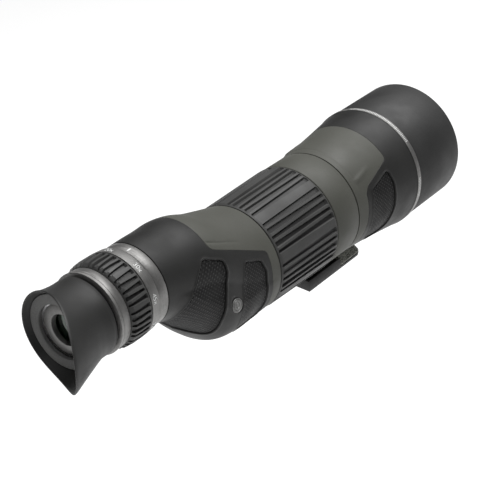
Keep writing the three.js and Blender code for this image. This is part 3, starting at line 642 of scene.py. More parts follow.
def rim_rows(loops, insets):
    """Rows of points just inside the loops, which carry the rounding of the rim."""
    rows = []
    starts = np.concatenate(loops)
    ends = np.concatenate([np.roll(loop, -1, 0) for loop in loops])
    for loop in loops:
        tangent = np.roll(loop, -1, 0) - np.roll(loop, 1, 0)
        tangent /= np.linalg.norm(tangent, axis=1)[:, None] + 1e-12
        normal = np.stack([-tangent[:, 1], tangent[:, 0]], -1)
        for inset in insets:
            for side in (1, -1):
                row = loop + side * inset * normal
                clear = distance(row, starts, ends) > inset * 0.93
                rows.append(row[inside(row, loops) & clear])
    return np.concatenate(rows)


def rounded_rim(depth, radius):
    """How far the surface falls towards a rim, for points at a depth inside it."""
    near = np.clip(1 - depth / radius, 0, 1)
    return -radius * (1 - np.sqrt(1 - near ** 2))


def mirrored(points):
    return points * (-1, 1, 1)


def place_skin(name, node, halves, **more):
    points, faces = join_shells(*halves)
    return make(name, points, faces, node, weld=True, **more)


# ------------------------------------------------------------------ housing

# The housing's cross-section: station, top, bottom, upper radius, lower radius
HOUSING = np.array([
    (-86.1, 50.8, 3.2, 23.8, 23.8),
    (-78, 50.7, 0.5, 24.6, 24.6),
    (-68, 50.1, -8, 26.1, 28),
    (-56, 49.9, -20.5, 27.6, 31),
    (-44, 47.2, -30, 29.6, 33.4),
    (-32, 42.4, -32.8, 31, 33.9),
    (-16, 37.4, -33, 32.2, 33.2),
    (-0.5, 33, -32.9, 32.9, 32.9),
])
HOUSING_REAR, HOUSING_FRONT = HOUSING[0, 0], HOUSING[-1, 0]
SKIN_THICK = 1.4


def smooth_table(stations, values, at):
    """A smooth curve through a table's values."""
    slopes = np.gradient(values, stations)
    at = np.clip(at, stations[0], stations[-1])
    i = np.clip(np.searchsorted(stations, at, side="right") - 1, 0, len(stations) - 2)
    span = stations[i + 1] - stations[i]
    t = (at - stations[i]) / span
    return (
        (2 * t ** 3 - 3 * t ** 2 + 1) * values[i] + (t ** 3 - 2 * t ** 2 + t) * span * slopes[i]
        + (3 * t ** 2 - 2 * t ** 3) * values[i + 1] + (t ** 3 - t ** 2) * span * slopes[i + 1]
    )


def housing_point(station, angle):
    """Where a ray from the section's middle meets the two half rounds and the straight sides."""
    top, bottom, upper, lower = (smooth_table(HOUSING[:, 0], HOUSING[:, k], station) for k in range(1, 5))
    high, low = top - upper, np.minimum(bottom + lower, top - upper - 0.01)
    middle = (high + low) / 2
    c, s = np.cos(angle), np.sin(angle)
    up, down = middle - high, middle - low
    reach_up = -s * up + np.sqrt(np.maximum(upper ** 2 - (c * up) ** 2, 0))
    reach_down = -s * down + np.sqrt(np.maximum(lower ** 2 - (c * down) ** 2, 0))
    slope = (lower - upper) / (high - low)
    reach_side = (upper + slope * (high - middle)) / (c + slope * s + 1e-9)
    reach = np.where(up + s * reach_up >= 0, reach_up, np.where(down + s * reach_down <= 0, reach_down, reach_side))
    return np.stack([c * reach, station, middle + s * reach], -1)


HOUSE = Skin(housing_point, 33.0)
BAND_EDGE = -8
SADDLE_REAR = -50.6
SADDLE_CORNER = 39
SADDLE_FRONT = 19.4
SEAM = 0.05
REAR_PAD = [
    (-58.5, 37.5), (-44.5, 31), (-44, 25), (-46.6, 15), (-49.7, 7), (-51.5, -2),
    (-52, -16), (-66, -9), (-78, 2), (-76, 12), (-72, 20), (-65, 30),
]
FRONT_PAD = [
    (-29, 23), (-15.5, 17.6), (-13, 10.8), (-13, -10), (-16, -22), (-32, -24), (-36, -15), (-36, 0),
]
CREASE = [(-49, 41.4), (-24, 30.8)]
BADGE = (-41, 3.0)  # the purge plug's place in side view
BADGE_RADIUS = 4.2


def closed_side_loop(skin, outline, radius):
    ring = fillet(outline, radius)
    return np.array(skin.side_view(ring + ring[:1]))[:-1]


def saddle_edge(grow):
    """The line between paint and armour on one side, from the top down to the belly."""
    corners = [
        (SADDLE_REAR - grow, 46), (SADDLE_REAR - grow, SADDLE_CORNER - grow, 5),
        (BAND_EDGE - grow, SADDLE_FRONT - grow, 3.5), (BAND_EDGE - grow, -25),
    ]
    side = HOUSE.side_view(fillet(corners, 0, 6, closed=False))
    side = [(SADDLE_REAR - grow, HOUSE.arc(90))] + side + [(BAND_EDGE - grow, HOUSE.arc(-90))]
    return side


def add_housing():
    armour_loop = resample(
        [(HOUSING_REAR, HOUSE.arc(90))] + saddle_edge(SEAM) + [(HOUSING_REAR, HOUSE.arc(-90))], 0.9)
    cover_loop = resample(
        [(HOUSING_FRONT, HOUSE.arc(90))] + saddle_edge(0) + [(HOUSING_FRONT, HOUSE.arc(-90))], 0.9)
    crease = np.array(HOUSE.side_view(CREASE))
    rear_pad = closed_side_loop(HOUSE, REAR_PAD, 4)
    front_pad = closed_side_loop(HOUSE, FRONT_PAD, 3)

    edges = HOUSE.real_edges([cover_loop])

    def cover_lift(flat):
        share = np.clip((flat[:, 0] - crease[0, 0]) / (crease[-1, 0] - crease[0, 0]), 0, 1)
        away = distance(flat, crease[:-1], crease[1:])
        groove = -0.35 * np.clip(1 - away / 1.0, 0, 1) * (1 - share) ** 0.6
        return rounded_rim(distance(flat, *edges), 0.12) + groove

    fine_line = np.concatenate([crease + (0, k * 0.5) for k in (-2, -1, 0, 1, 2)])
    interior = grid_inside([cover_loop], 1.1, 0.8)
    interior = interior[distance(interior, crease[:-1], crease[1:]) > 1.4]
    interior = np.concatenate([interior, rim_rows([cover_loop], (0.12, 0.3, 0.55)), fine_line])
    half = HOUSE.shell([cover_loop], interior, cover_lift, SKIN_THICK)
    place_skin("housing_cover_skin", "housing_cover", [half, (mirrored(half[0]), half[1])], sharp=60)

    pads = [rear_pad, front_pad]
    loops = [armour_loop, *pads]
    rim = HOUSE.real_edges([armour_loop])
    pad_rim = HOUSE.real_edges(pads)
    badge_middle = np.array(HOUSE.side_view([BADGE, (BADGE[0], BADGE[1] + 0.1)]))[:1]

    def armour_lift(flat):
        from_pad = distance(flat, *pad_rim)
        bead = 0.28 * np.exp(-((from_pad - 0.55) / 0.4) ** 2)
        return rounded_rim(distance(flat, *rim), 0.12) + rounded_rim(from_pad, 0.3) + bead

    def armour_lift_right(flat):
        from_badge = np.linalg.norm(flat - badge_middle, axis=1)
        return armour_lift(flat) - 0.7 * (1 - smoothstep(from_badge, BADGE_RADIUS + 0.1, BADGE_RADIUS + 0.5))

    interior = np.concatenate([grid_inside(loops, 1.1, 1.3), rim_rows([armour_loop], (0.12, 0.35))])
    beads = []
    for pad in pads:
        for outset in (0.12, 0.3, 0.55, 0.8, 1.1):
            row = offset_outline(pad[::-1] if area(pad) < 0 else pad, -outset)
            beads.append(row)
    beads = np.concatenate(beads)
    beads = beads[inside(beads, loops) & (distance(beads, *pad_rim) > 0.1) & (distance(beads, *rim) > 0.4)]
    interior = np.concatenate([interior, beads])
    ring = np.concatenate([
        badge_middle + np.array(circle(BADGE_RADIUS + grow, 40)) for grow in (0.1, 0.3, 0.5)
    ])
    near = np.linalg.norm(interior - badge_middle, axis=1)
    with_badge = np.concatenate([interior[abs(near - BADGE_RADIUS - 0.3) > 0.6], ring[inside(ring, loops)]])
    right = HOUSE.shell(loops, with_badge, armour_lift_right, SKIN_THICK)
    left = HOUSE.shell(loops, interior, armour_lift, SKIN_THICK)
    place_skin("housing_armour_skin", "housing_armour", [right, (mirrored(left[0]), left[1])], sharp=60)

    for place, loop in (("rear", rear_pad), ("front", front_pad)):
        add_pad(HOUSE, place, loop)
    add_purge_plug(badge_middle)


def area(loop):
    return 0.5 * np.sum(loop[:, 0] * np.roll(loop[:, 1], -1) - np.roll(loop[:, 0], -1) * loop[:, 1])


KNURL_PITCH = 1.9
PAD_GAP = 0.5
PAD_SINK = 0.55


def add_pad(skin, place, loop):
    """A sunk grip pad on each side, covered in small pyramids inside a smooth rim."""
    loop = loop[::-1] if area(loop) < 0 else loop
    edge = offset_outline(loop, PAD_GAP)
    edges = edge, np.roll(edge, -1, 0)
    knurl, peaks = grid_inside([edge], KNURL_PITCH / 2, 1.1, slant=True)
    interior = np.concatenate([knurl, rim_rows([edge], (0.25, 0.8))])
    peak_points = {tuple(np.round(p, 4)) for p in knurl[peaks]}

    def lift(flat):
        is_peak = np.array([tuple(np.round(p, 4)) in peak_points for p in flat])
        depth = distance(flat, *edges)
        return -PAD_SINK + rounded_rim(depth, 0.25) + np.where(is_peak, 0.12, 0) - 0.25 * (depth > 1)

    points, faces = skin.shell([edge], interior, lift, SKIN_THICK, coarse=3)
    for side, shell_points in (("right", points), ("left", mirrored(points))):
        node = f"grip_pad_{place}_{side}"
        make(node + "_knurled", shell_points, faces, node, material="pad_rubber", sharp=25)


def add_purge_plug(middle):
    """A round plain plug with a ring groove, sunk in the right-hand armour."""
    seat = HOUSE.surface(middle, [0.0])[0]
    out = HOUSE.surface(middle, [1.0])[0] - seat
    along = np.array([0, 1, 0]) - out[1] * out
    along /= np.linalg.norm(along)
    across = np.cross(out, along)
    profile = [
        (0.001, -0.1), (1.1, -0.1), (1.3, -0.35), (1.6, -0.35), (1.8, -0.1), (2.8, -0.15), (3.0, -0.45),
        (3.3, -0.45), (3.5, -0.15), (3.9, -0.2), (4.1, -0.45), (4.15, -1.6), (0.001, -1.6),
    ]
    points = []
    sides = 64
    for radius, level in profile:
        for a in np.linspace(0, 2 * math.pi, sides, endpoint=False):
            points.append(seat + out * level + radius * (math.cos(a) * along + math.sin(a) * across))
    faces = ring_faces(len(profile), sides)
    make("purge_plug_turned", points, faces, "purge_plug", material="dark_metal", weld=True)


# ------------------------------------------------------------------ bell behind the sunshade

# Outer radius of the bell at each station
BELL = np.array([(78, 34.15), (98, 35.9), (114.6, 37.75), (136.3, 40.4)])
BELL_REAR, BELL_FRONT = BELL[0, 0], BELL[-1, 0]


def bell_point(station, angle):
    radius = smooth_table(BELL[:, 0], BELL[:, 1], station)
    return np.stack([radius * np.cos(angle), station, radius * np.sin(angle)], -1)


BELL_SKIN = Skin(bell_point, 37.0)
PAINT_FRONT = 114.0
# Station and angle of the line between paint and armour, down the right side
PAINT_EDGE = [(PAINT_FRONT, 90), (PAINT_FRONT, 43, 4), (91, 30, 4), (87.8, 24, 4), (85.6, -30), (85, -90)]
BELL_PAD = [
    (111, 33), (93.6, 23.8), (91.6, 6), (91.2, -15), (93, -34), (97, -43), (106, -39), (111, -27), (113.2, -5),
    (113.3, 18),
]
WEDGE = [(85.5, 41), (100, 46)]
STEP_STATION = 83.2


def polar(outline):
    """(station, degrees) to (station, arc)."""
    return [(p[0], BELL_SKIN.arc(p[1]), *p[2:]) for p in outline]


def add_bell():
    line = fillet(polar(PAINT_EDGE), 0, 6, closed=False)
    top, low = BELL_SKIN.arc(90), BELL_SKIN.arc(-90)
    cover_loop = resample([(BELL_REAR + 0.1, top)] + line + [(BELL_REAR + 0.1, low)], 0.9)
    armour_loop = resample([(BELL_FRONT, top)] + [(s + SEAM, a) for s, a in line] + [(BELL_FRONT, low)], 0.9)
    pad = resample(fillet(polar(BELL_PAD), 2.5), 0.8)
    edges = BELL_SKIN.real_edges([cover_loop])
    wedge = np.array(polar(WEDGE))

    def cover_lift(flat):
        share = np.clip((flat[:, 0] - wedge[0, 0]) / (wedge[1, 0] - wedge[0, 0]), 0, 1)
        away = distance(flat, wedge[:1], wedge[1:])
        ridge = 0.75 * np.clip(1 - away / 2.6, 0, 1) * (1 - share) ** 0.7
        upper = smoothstep(flat[:, 1], BELL_SKIN.arc(28), BELL_SKIN.arc(44))
        step = -0.3 * upper * np.clip(1 - abs(flat[:, 0] - STEP_STATION) / 0.8, 0, 1)
        swell = -0.15 * upper * (1 - smoothstep(flat[:, 0], STEP_STATION, STEP_STATION + 5))
        return rounded_rim(distance(flat, *edges), 0.12) + ridge + step + swell

    lines = [
        np.stack([np.full(200, STEP_STATION + k), np.linspace(low, top, 202)[1:-1]], -1) for k in (-0.8, 0, 0.8)
    ]
    ridge = resample(wedge, 0.8, closed=False)
    ridge = np.concatenate([ridge + (0, k) for k in (-2.6, -1.3, 0, 1.3, 2.6)])
    interior = grid_inside([cover_loop], 1.1, 0.8)
    clear = (distance(interior, wedge[:1], wedge[1:]) > 3) & (abs(interior[:, 0] - STEP_STATION) > 1.2)
    lines = np.concatenate(lines)
    lines = lines[distance(lines, wedge[:1], wedge[1:]) > 3]
    interior = np.concatenate([interior[clear], rim_rows([cover_loop], (0.12, 0.3, 0.55)), lines, ridge])
    half = BELL_SKIN.shell([cover_loop], interior, cover_lift, SKIN_THICK)
    place_skin("bell_cover_skin", "bell_cover", [half, (mirrored(half[0]), half[1])], sharp=60)

    loops = [armour_loop, pad]
    rim = BELL_SKIN.real_edges([armour_loop])
    pad_rim = BELL_SKIN.real_edges([pad])

    def armour_lift(flat):
        from_pad = distance(flat, *pad_rim)
        bead = 0.28 * np.exp(-((from_pad - 0.55) / 0.4) ** 2)
        return rounded_rim(distance(flat, *rim), 0.12) + rounded_rim(from_pad, 0.3) + bead

    outward = pad[::-1] if area(pad) < 0 else pad
    beads = np.concatenate([offset_outline(outward, -outset) for outset in (0.12, 0.3, 0.55, 0.8, 1.1)])
    beads = beads[inside(beads, loops) & (distance(beads, *pad_rim) > 0.1)]
    interior = np.concatenate([grid_inside(loops, 1.1, 1.3), rim_rows([armour_loop], (0.12, 0.35)), beads])
    half = BELL_SKIN.shell(loops, interior, armour_lift, SKIN_THICK)
    place_skin("bell_armour_skin", "bell_armour", [half, (mirrored(half[0]), half[1])], sharp=60)
    add_pad(BELL_SKIN, "bell", pad)


# ------------------------------------------------------------------ ribbed rings

GROUPS = 8
GROUP_CENTRE = 41  # degrees, at rest
GROOVE_DEPTH = 1.4
NARROW = 1.9  # half the narrow end of a groove, in degrees


def ribbed_ring(name, node, outer, bore, pitch, wide, start, end, ramp, axis=0.0):
    """A grip whose wedge-shaped grooves lie in eight groups of five, alternately wide in front and behind."""
    stations = sorted(
        {s for s, _ in outer}
        | {start, start + 0.5, start + ramp, end - ramp, end - 0.5, end}
        | set(np.linspace(start + ramp, end - ramp, 9).tolist())
    )
    stations = np.array(stations)
    radius = np.interp(stations, [s for s, _ in outer], [r for _, r in outer])
    columns = []  # angle per station and groove depth per station
    for group in range(GROUPS):
        middle = GROUP_CENTRE + 360 / GROUPS * group
        for k in range(-2, 3):
            share = np.clip((stations - start) / (end - start), 0, 1)
            widening = share if k % 2 == 0 else 1 - share
            half = NARROW + (wide - NARROW) * widening
            near_end = np.minimum(stations - start, end - stations)
            open_here = np.clip(near_end / ramp, 0, 1)
            half = half * (0.3 + 0.7 * np.clip(near_end / 0.5, 0, 1))
            for place, depth in ((-1, 0), (-0.7, 1), (0.7, 1), (1, 0)):
                columns.append((middle + k * pitch + place * half, depth * open_here ** 0.6))
        land = (2 * pitch + wide, 360 / GROUPS - 2 * pitch - wide)
        for extra in np.linspace(*land, 6)[1:-1]:
            columns.append((middle + extra + 0 * stations, 0 * stations))
    angle = np.radians(np.stack([c[0] for c in columns], 1))
    depth = np.stack([c[1] for c in columns], 1) * GROOVE_DEPTH
    skin_radius = radius[:, None] - depth
    rows_radius = [np.full(angle.shape[1], bore), *skin_radius, np.full(angle.shape[1], bore)]
    rows_station = [stations[0], *stations, stations[-1]]
    rows_angle = [angle[0], *angle, angle[-1]]
    points = np.concatenate([
        np.stack([r * np.cos(a), np.full(len(a), s), axis + r * np.sin(a)], -1)
        for r, s, a in zip(rows_radius, rows_station, rows_angle)
    ])
    return make(name, points, ring_faces(len(rows_station), angle.shape[1]), node, sharp=24)


FOCUS_FRONT = 54.9


def add_focus_ring():
    outer = [
        (0.3, 32.4), (0.5, 32.85), (1.0, 33.1), (2.0, 33.5), (FOCUS_FRONT - 2, 34.6), (FOCUS_FRONT - 0.9, 34.5),
        (FOCUS_FRONT - 0.3, 34.1), (FOCUS_FRONT - 0.1, 33.6),
    ]
    ribbed_ring("focus_grip_ribbed", "focus_grip", outer, 31.5, 7.5, 3.2, 1.2, FOCUS_FRONT - 1.2, 1.6)


# ------------------------------------------------------------------ marks

NUMERAL_HEIGHT = 2.7


def numeral_shell(text, height, thick):
    """Flat letters as a closed shell: x to the right, y up, centred; the level is the third number."""
    curve = bpy.data.curves.new("numeral", "FONT")
    curve.body = text
    curve.size = height / 0.7
    curve.align_x = "CENTER"
    curve.align_y = "CENTER"
    curve.resolution_u = 4
    curve.extrude = thick
    holder = bpy.data.objects.new("numeral", curve)
    bpy.context.scene.collection.objects.link(holder)
    bpy.context.view_layer.update()
    mesh = holder.evaluated_get(bpy.context.evaluated_depsgraph_get()).to_mesh()
    work = bmesh.new()
    work.from_mesh(mesh)
    bmesh.ops.remove_doubles(work, verts=work.verts, dist=0.001)
    points = np.array([v.co[:] for v in work.verts])
    faces = [[v.index for v in face.verts] for face in work.faces]
    work.free()
    bpy.data.objects.remove(holder)
    bpy.data.curves.remove(curve)
    return points, faces


def wrap(points, angle, station, radius, axis):
    """Lays flat marks on a ring: x runs round towards smaller angles, y along the axis, level outwards."""
    x, y, level = points.T
    out = radius + level
    turn = math.radians(angle) - x / radius
    return np.stack([out * np.cos(turn), station + y, axis + out * np.sin(turn)], -1)


def bar(width, length, thick):
    x, y = width / 2, length / 2
    corners = fillet([(-x, -y), (x, -y), (x, y), (-x, y)], min(x, y) * 0.5, 2)
    points = [(u, v, level) for level in (-thick, thick) for u, v in corners]
    count = len(corners)
    faces = ring_faces(2, count, close_rows=False) + [list(range(count))[::-1], list(range(count, 2 * count))]
    return np.array(points), faces


# ------------------------------------------------------------------ eyepiece

FLANGE = -86.1
INDEX_REAR = -92.9
SCALE_FRONT = -93.4
SCALE_REAR = -100.1
GRIP_REAR = -114.3
RING_REAR = -122.9


def add_eyepiece():
    bore = 18.1
    index = [
        (bore, INDEX_REAR), (23.25, INDEX_REAR), (23.42, INDEX_REAR + 0.15), (23.78, FLANGE - 0.75),
        (23.55, FLANGE - 0.45), (bore, FLANGE - 0.45),
    ]
    revolve("index_ring_turned", index, "index_ring", EYE, sharp=50)
    points, faces = bar(1.0, 3.7, 0.05)
    mark = wrap(points, 87.1, (INDEX_REAR + FLANGE) / 2 - 0.4, 23.6, EYE)
    make("index_mark", mark, faces, "index_ring", material="white_mark", replaces=[])

    scale = [
        (19.5, SCALE_FRONT), (23.9, SCALE_FRONT), (24.2, SCALE_FRONT - 0.25), (24.5, SCALE_FRONT - 1.2),
        (24.9, SCALE_REAR + 0.2),
        (24.6, SCALE_REAR), (21, SCALE_REAR), (21, GRIP_REAR + 0.2), (19.5, GRIP_REAR + 0.2),
    ]
    revolve("zoom_scale_turned", scale, "zoom_scale_ring", EYE, sharp=50)
    middle = (SCALE_FRONT + SCALE_REAR) / 2 - 0.5
    for text, angle in (("20x", 104.5), ("30x", 58.3), ("45x", 14.4), ("60x", -26)):
        points, faces = numeral_shell(text, NUMERAL_HEIGHT, 0.06)
        points = wrap(points, angle, middle, 24.76, EYE)
        make(f"zoom_mark_{text}", points, faces, "zoom_scale_ring", material="white_mark", replaces=[])
    grip = [
        (GRIP_REAR, 22.6), (GRIP_REAR + 0.3, 23.2), (GRIP_REAR + 2, 24.6), (-108.3, 25), (-101.6, 25),
        (SCALE_REAR - 0.5, 24.7), (SCALE_REAR - 0.3, 24.3),
    ]
    ribbed_ring("zoom_grip_ribbed", "zoom_grip", grip, 21.3, 8.5, 3.4, GRIP_REAR + 0.25, SCALE_REAR - 1.0, 0.9, EYE)
    rear = [
        (19.7, RING_REAR + 1.2), (23.1, RING_REAR + 1.2), (23.35, RING_REAR + 1.4), (23.2, RING_REAR + 3.0),
        (23.02, RING_REAR + 3.1), (23.0, RING_REAR + 3.3), (23.15, RING_REAR + 3.4),
        (22.85, GRIP_REAR - 0.6), (22.6, GRIP_REAR - 0.35), (19.7, GRIP_REAR - 0.35),
    ]
    revolve("rear_ring_turned", rear, "eyepiece_rear_ring", EYE, sharp=50)


    # The helicoid is drawn in near-black black_seal: painted shade in the gap between the eyepiece's rear ring and the
    # cup.
    helicoid = [
        (18.1, -138.5), (19.1, -138.5), (19.4, -138.2), (19.4, CUP_FRONT + 0.2), (20.4, CUP_FRONT + 0.2),
        (20.6, CUP_FRONT + 0.5), (20.6, RING_REAR + 0.9), (19.6, RING_REAR + 0.9), (19.4, RING_REAR + 1.1),
        (19.4, -114.8), (18.1, -114.8),
    ]
    revolve("eyecup_helicoid_turned", helicoid, "eyecup_helicoid", EYE, sharp=50, material="black_seal")


CUP_FRONT = -123.9
CUP_FLOOR = -141.4
CUP_RIM = -144.2
WING_START = -129
WING_REACH = 19.5
WING_FLARE = 7.4


def wing(radius, station, around):
    """Draws the cup's rim out into the wing on its right-hand side."""
    depth = np.clip((WING_START - station) / (WING_START - CUP_RIM), 0, 1)
    angle = np.where(around > math.pi, around - 2 * math.pi, around)
    share = np.cos(angle / 2.25) ** 8 * depth ** 2
    held = (radius < 21.9) & (station > CUP_FLOOR - 0.1)
    share = np.where(held, 0, share)
    return radius + WING_FLARE * share, station - WING_REACH * share * depth


def add_eyecup():
    outside = [
        (22.1, CUP_FRONT), (22.4, CUP_FRONT - 0.3), (22.35, -127), (22.3, -130), (22.4, -133), (22.7, -136),
        (23.05, -138.5), (23.4, -140.5), (23.9, -142.3), (24.3, -143.3),
    ]
    lip = [(24.45, -143.75), (24.4, -144.1), (24.15, CUP_RIM), (23.8, -144.15), (23.5, -143.9)]
    inner = [(23.1, -143.3), (22.6, -142.6), (22, -141.9), (21.6, -141.4), (21.3, -141), (21.3, CUP_FRONT)]
    revolve("eyecup_moulded", outside + lip + inner, "eyecup", EYE, sides=256, shape=wing, sharp=60)
    core = [
        (15.3, -139.2), (19.7, -139.2), (19.7, -124.2), (21, -124.2), (21, CUP_FLOOR), (15.6, CUP_FLOOR),
        (15.3, CUP_FLOOR + 0.3),
    ]
    revolve("eyecup_core_turned", core, "eyecup_core", EYE, material="cup_floor", sharp=50)
    ring = [
        (8.6, -138.3), (8.9, -138.9), (13.7, -138.9), (14.0, -138.6), (14.3, -138.5), (14.3, -136), (8.6, -136),
    ]
    revolve("eye_lens_ring_turned", ring, "eye_lens_ring", EYE, sharp=50)
    add_lens("eye_lens_ground", "eye_lens", 14.3, -134.4, -131.6, 1.2, 1.6, EYE)


def add_lens(name, node, radius, rear, front, rear_sag, front_sag, axis=0.0):
    steps = np.linspace(0.0005, 1, 14)
    outline = [(radius * t, rear - rear_sag * (1 - t * t)) for t in steps]
    outline += [(radius * t, front + front_sag * (1 - t * t)) for t in steps[::-1]]
    revolve(name, outline, node, axis, sharp=40, weld=True)


# ------------------------------------------------------------------ front end

HOOD_REAR = 138.7
HOOD_FRONT = 186.2
HOOD_RADIUS = 40.1
HOOD_BORE = 38.6
GUIDE_RADIUS = 37
BARREL_FRONT = 171.5
BAND_REAR = 136.4
BAND_LIP = 135.1  # the accent ring's lip over the armour's front edge


def add_front_end():
    band = [
        (38.9, BAND_REAR), (40.45, BAND_REAR), (40.4, BAND_LIP), (40.58, BAND_LIP + 0.15), (40.58, HOOD_REAR - 0.25),
        (40.4, HOOD_REAR - 0.1), (38.9, HOOD_REAR - 0.1),
    ]
    revolve("accent_ring_turned", band, "accent_ring", sharp=50)
    ticks = []
    middle = (BAND_LIP + HOOD_REAR) / 2
    for low, high in ((45, 110), (-9, 10)):
        for i, angle in enumerate(np.arange(low, high, 1.5)):
            points, faces = bar(0.4, 1.6 if i % 5 else 2.2, 0.03)
            ticks.append((wrap(points, angle, middle, 40.56, 0), faces))
    points, faces = join_shells(*ticks)
    make("accent_ring_ticks", points, faces, "accent_ring", material="white_mark", replaces=[])

    hood = [
        (GUIDE_RADIUS + 0.3, HOOD_REAR), (39.7, HOOD_REAR), (HOOD_RADIUS, HOOD_REAR + 0.4),
        (HOOD_RADIUS, HOOD_FRONT - 1.0), (39.9, HOOD_FRONT - 0.35), (39.4, HOOD_FRONT), (39.0, HOOD_FRONT),
        (HOOD_BORE, HOOD_FRONT - 0.4),
    ]
    for rib in np.arange(HOOD_FRONT - 2.5, BARREL_FRONT + 0.5, -1.1):
        hood += [(HOOD_BORE, rib), (HOOD_BORE + 0.35, rib - 0.45), (HOOD_BORE, rib - 0.9)]
    hood += [(HOOD_BORE, HOOD_REAR + 2.5), (GUIDE_RADIUS + 0.3, HOOD_REAR + 2.5)]
    revolve("sunshade_turned", hood, "sunshade", sides=200, sharp=50)

    barrel = [
        (28.7, 78.2), (32.35, 78.2), (34.1, 98), (35.95, 114.6), (38.6, 136.3), (38.6, HOOD_REAR - 0.3),
        (GUIDE_RADIUS, HOOD_REAR - 0.3), (GUIDE_RADIUS, BARREL_FRONT - 0.3), (GUIDE_RADIUS - 0.2, BARREL_FRONT),
        (36.1, BARREL_FRONT), (36, BARREL_FRONT - 0.2), (36, 142), (32, 110), (28.7, 85.5),
    ]
    revolve("front_barrel_turned", barrel, "front_barrel", material="black_anodised", sharp=40)
    cell = [
        (31.5, 146), (35.7, 146), (35.7, 167.6), (35.4, 168), (33.7, 168), (33.4, 167.6), (33.4, 148), (31.5, 148),
    ]
    revolve("objective_cell_turned", cell, "objective_cell", sharp=40)
    add_lens("objective_crown_ground", "objective_crown_lens", 33, 156.4, 159, 1.4, 3)
    add_lens("objective_flint_ground", "objective_flint_lens", 33, 150, 155, 1, -2.4)
    ring = [
        (32, 160.9), (32.2, 160.6), (33.1, 160.6), (33.1, 163.7), (32.8, 164), (32.4, 164), (32, 163.6),
    ]
    revolve("retaining_ring_turned", ring, "objective_retaining_ring", sharp=40)
    felt = [(37.2, 166.8), (38.3, 166.8), (38.3, 170.8), (37.2, 170.8)]
    revolve("felt_ring_laid", felt, "sunshade_felt_ring", sharp=40)


# ------------------------------------------------------------------ collar, lock and foot

COLLAR_REAR = 55.3
COLLAR_FRONT = 77.5
COLLAR_RADIUS = 34.2
KNOB_ANGLE = 210
LOCK_STATION = (COLLAR_REAR + COLLAR_FRONT) / 2
FOOT_BOTTOM = -AXIS
FOOT_TOP = FOOT_BOTTOM + 7


def lofted(sections):
    """Closed outlines of (x, height) with as many points each, stacked along the scope: (station, outline)."""
    points = [(x, station, z) for station, outline in sections for x, z in outline]
    count = len(sections[0][1])
    faces = ring_faces(len(sections), count, close_rows=False)
    faces += [list(range(count))[::-1], list(range(len(points) - count, len(points)))]
    return np.array(points), faces


def add_neck():
    """The neck under the collar flares into it, with a web that runs forward to the foot's front block."""
    bottom = -41.05
    rear, front = 57.2, 76.9
    levels = np.linspace(0, 1, 14)
    rings = []
    for share in levels:
        half = 9.4 + 5.4 * share ** 2.2
        grow = 1.0 * share ** 2.2
        corners = [(-half, rear - grow), (half, rear - grow), (half, front + 0.5 * grow), (-half, front + 0.5 * grow)]
        height = bottom + (10.2 if half < 14 else 10.2) * share
        rings.append([(x, y, height) for x, y in fillet(corners, 3, 5)])
    points = [p for ring in rings for p in ring]
    count = len(rings[0])
    faces = ring_faces(len(rings), count, close_rows=False)
    faces += [list(range(count))[::-1], list(range(len(points) - count, len(points)))]
    make("tripod_collar_neck", points, faces, "tripod_collar", sharp=40)
    sections = []
    for station in np.linspace(75, 88.6, 12):
        top = np.interp(station, [75, 80, 88.6], [-33.2, -35.5, -37.4])
        half = np.interp(station, [75, 88.6], [9.2, 10.4])
        sections.append((station, fillet([(-half, bottom), (half, bottom), (half - 1.2, top), (1.2 - half, top)], 1.2)))
    points, faces = lofted(sections)
    make("tripod_collar_web", points, faces, "tripod_collar", sharp=40)


def revolved(outline, sides=96):
    """A closed turned shell as (u, v, level) points; the outline is (radius, level)."""
    angle = np.linspace(0, 2 * math.pi, sides, endpoint=False)
    points = [(r * math.cos(a), r * math.sin(a), level) for r, level in outline for a in angle]
    return np.array(points), ring_faces(len(outline), sides)


def add_collar():
    band = [
        (30, COLLAR_REAR), (33.5, COLLAR_REAR), (33.95, COLLAR_REAR + 0.2), (COLLAR_RADIUS, COLLAR_REAR + 0.6),
        (COLLAR_RADIUS, COLLAR_FRONT - 0.7), (34.0, COLLAR_FRONT - 0.2), (33.6, COLLAR_FRONT),
        (30, COLLAR_FRONT),
    ]
    revolve("tripod_collar_band", band, "tripod_collar", sides=200, sharp=50)
    add_neck()
    boss = [(3.3, 31), (6.5, 31), (6.5, 39.2), (6.1, 39.8), (5.6, 40), (3.3, 40)]
    points, faces = revolved(boss)
    make("lock_boss", along_radius(points, KNOB_ANGLE, LOCK_STATION), faces, "tripod_collar", sharp=40)
    knob = [
        (3.3, 41), (6.9, 41), (7.7, 41.5), (8, 42.4), (7.9, 46), (7.5, 50.6), (6.9, 51.6), (6, 52), (3.2, 52),
        (0.001, 52), (0.001, 47.2), (3.3, 47.2),
    ]
    points, faces = revolved(knob, 192)
    radius = np.hypot(points[:, 0], points[:, 1])
    round_angle = np.arctan2(points[:, 1], points[:, 0])
    flute = np.clip(np.cos(8 * round_angle), 0, 1) ** 2 * 0.17 * smoothstep(radius, 6.2, 7)
    points[:, :2] *= (1 - flute)[:, None]
    make("lock_knob_fluted", along_radius(points, KNOB_ANGLE, LOCK_STATION), faces, "lock_knob", sharp=40, weld=True)
    stud = [(0.001, 30.2), (2.7, 30.2), (3, 30.5), (3, 45.6), (2.6, 46), (0.001, 46)]
    points, faces = revolved(stud)
    make("lock_stud_turned", along_radius(points, KNOB_ANGLE, LOCK_STATION), faces, "lock_stud", sharp=40, weld=True)


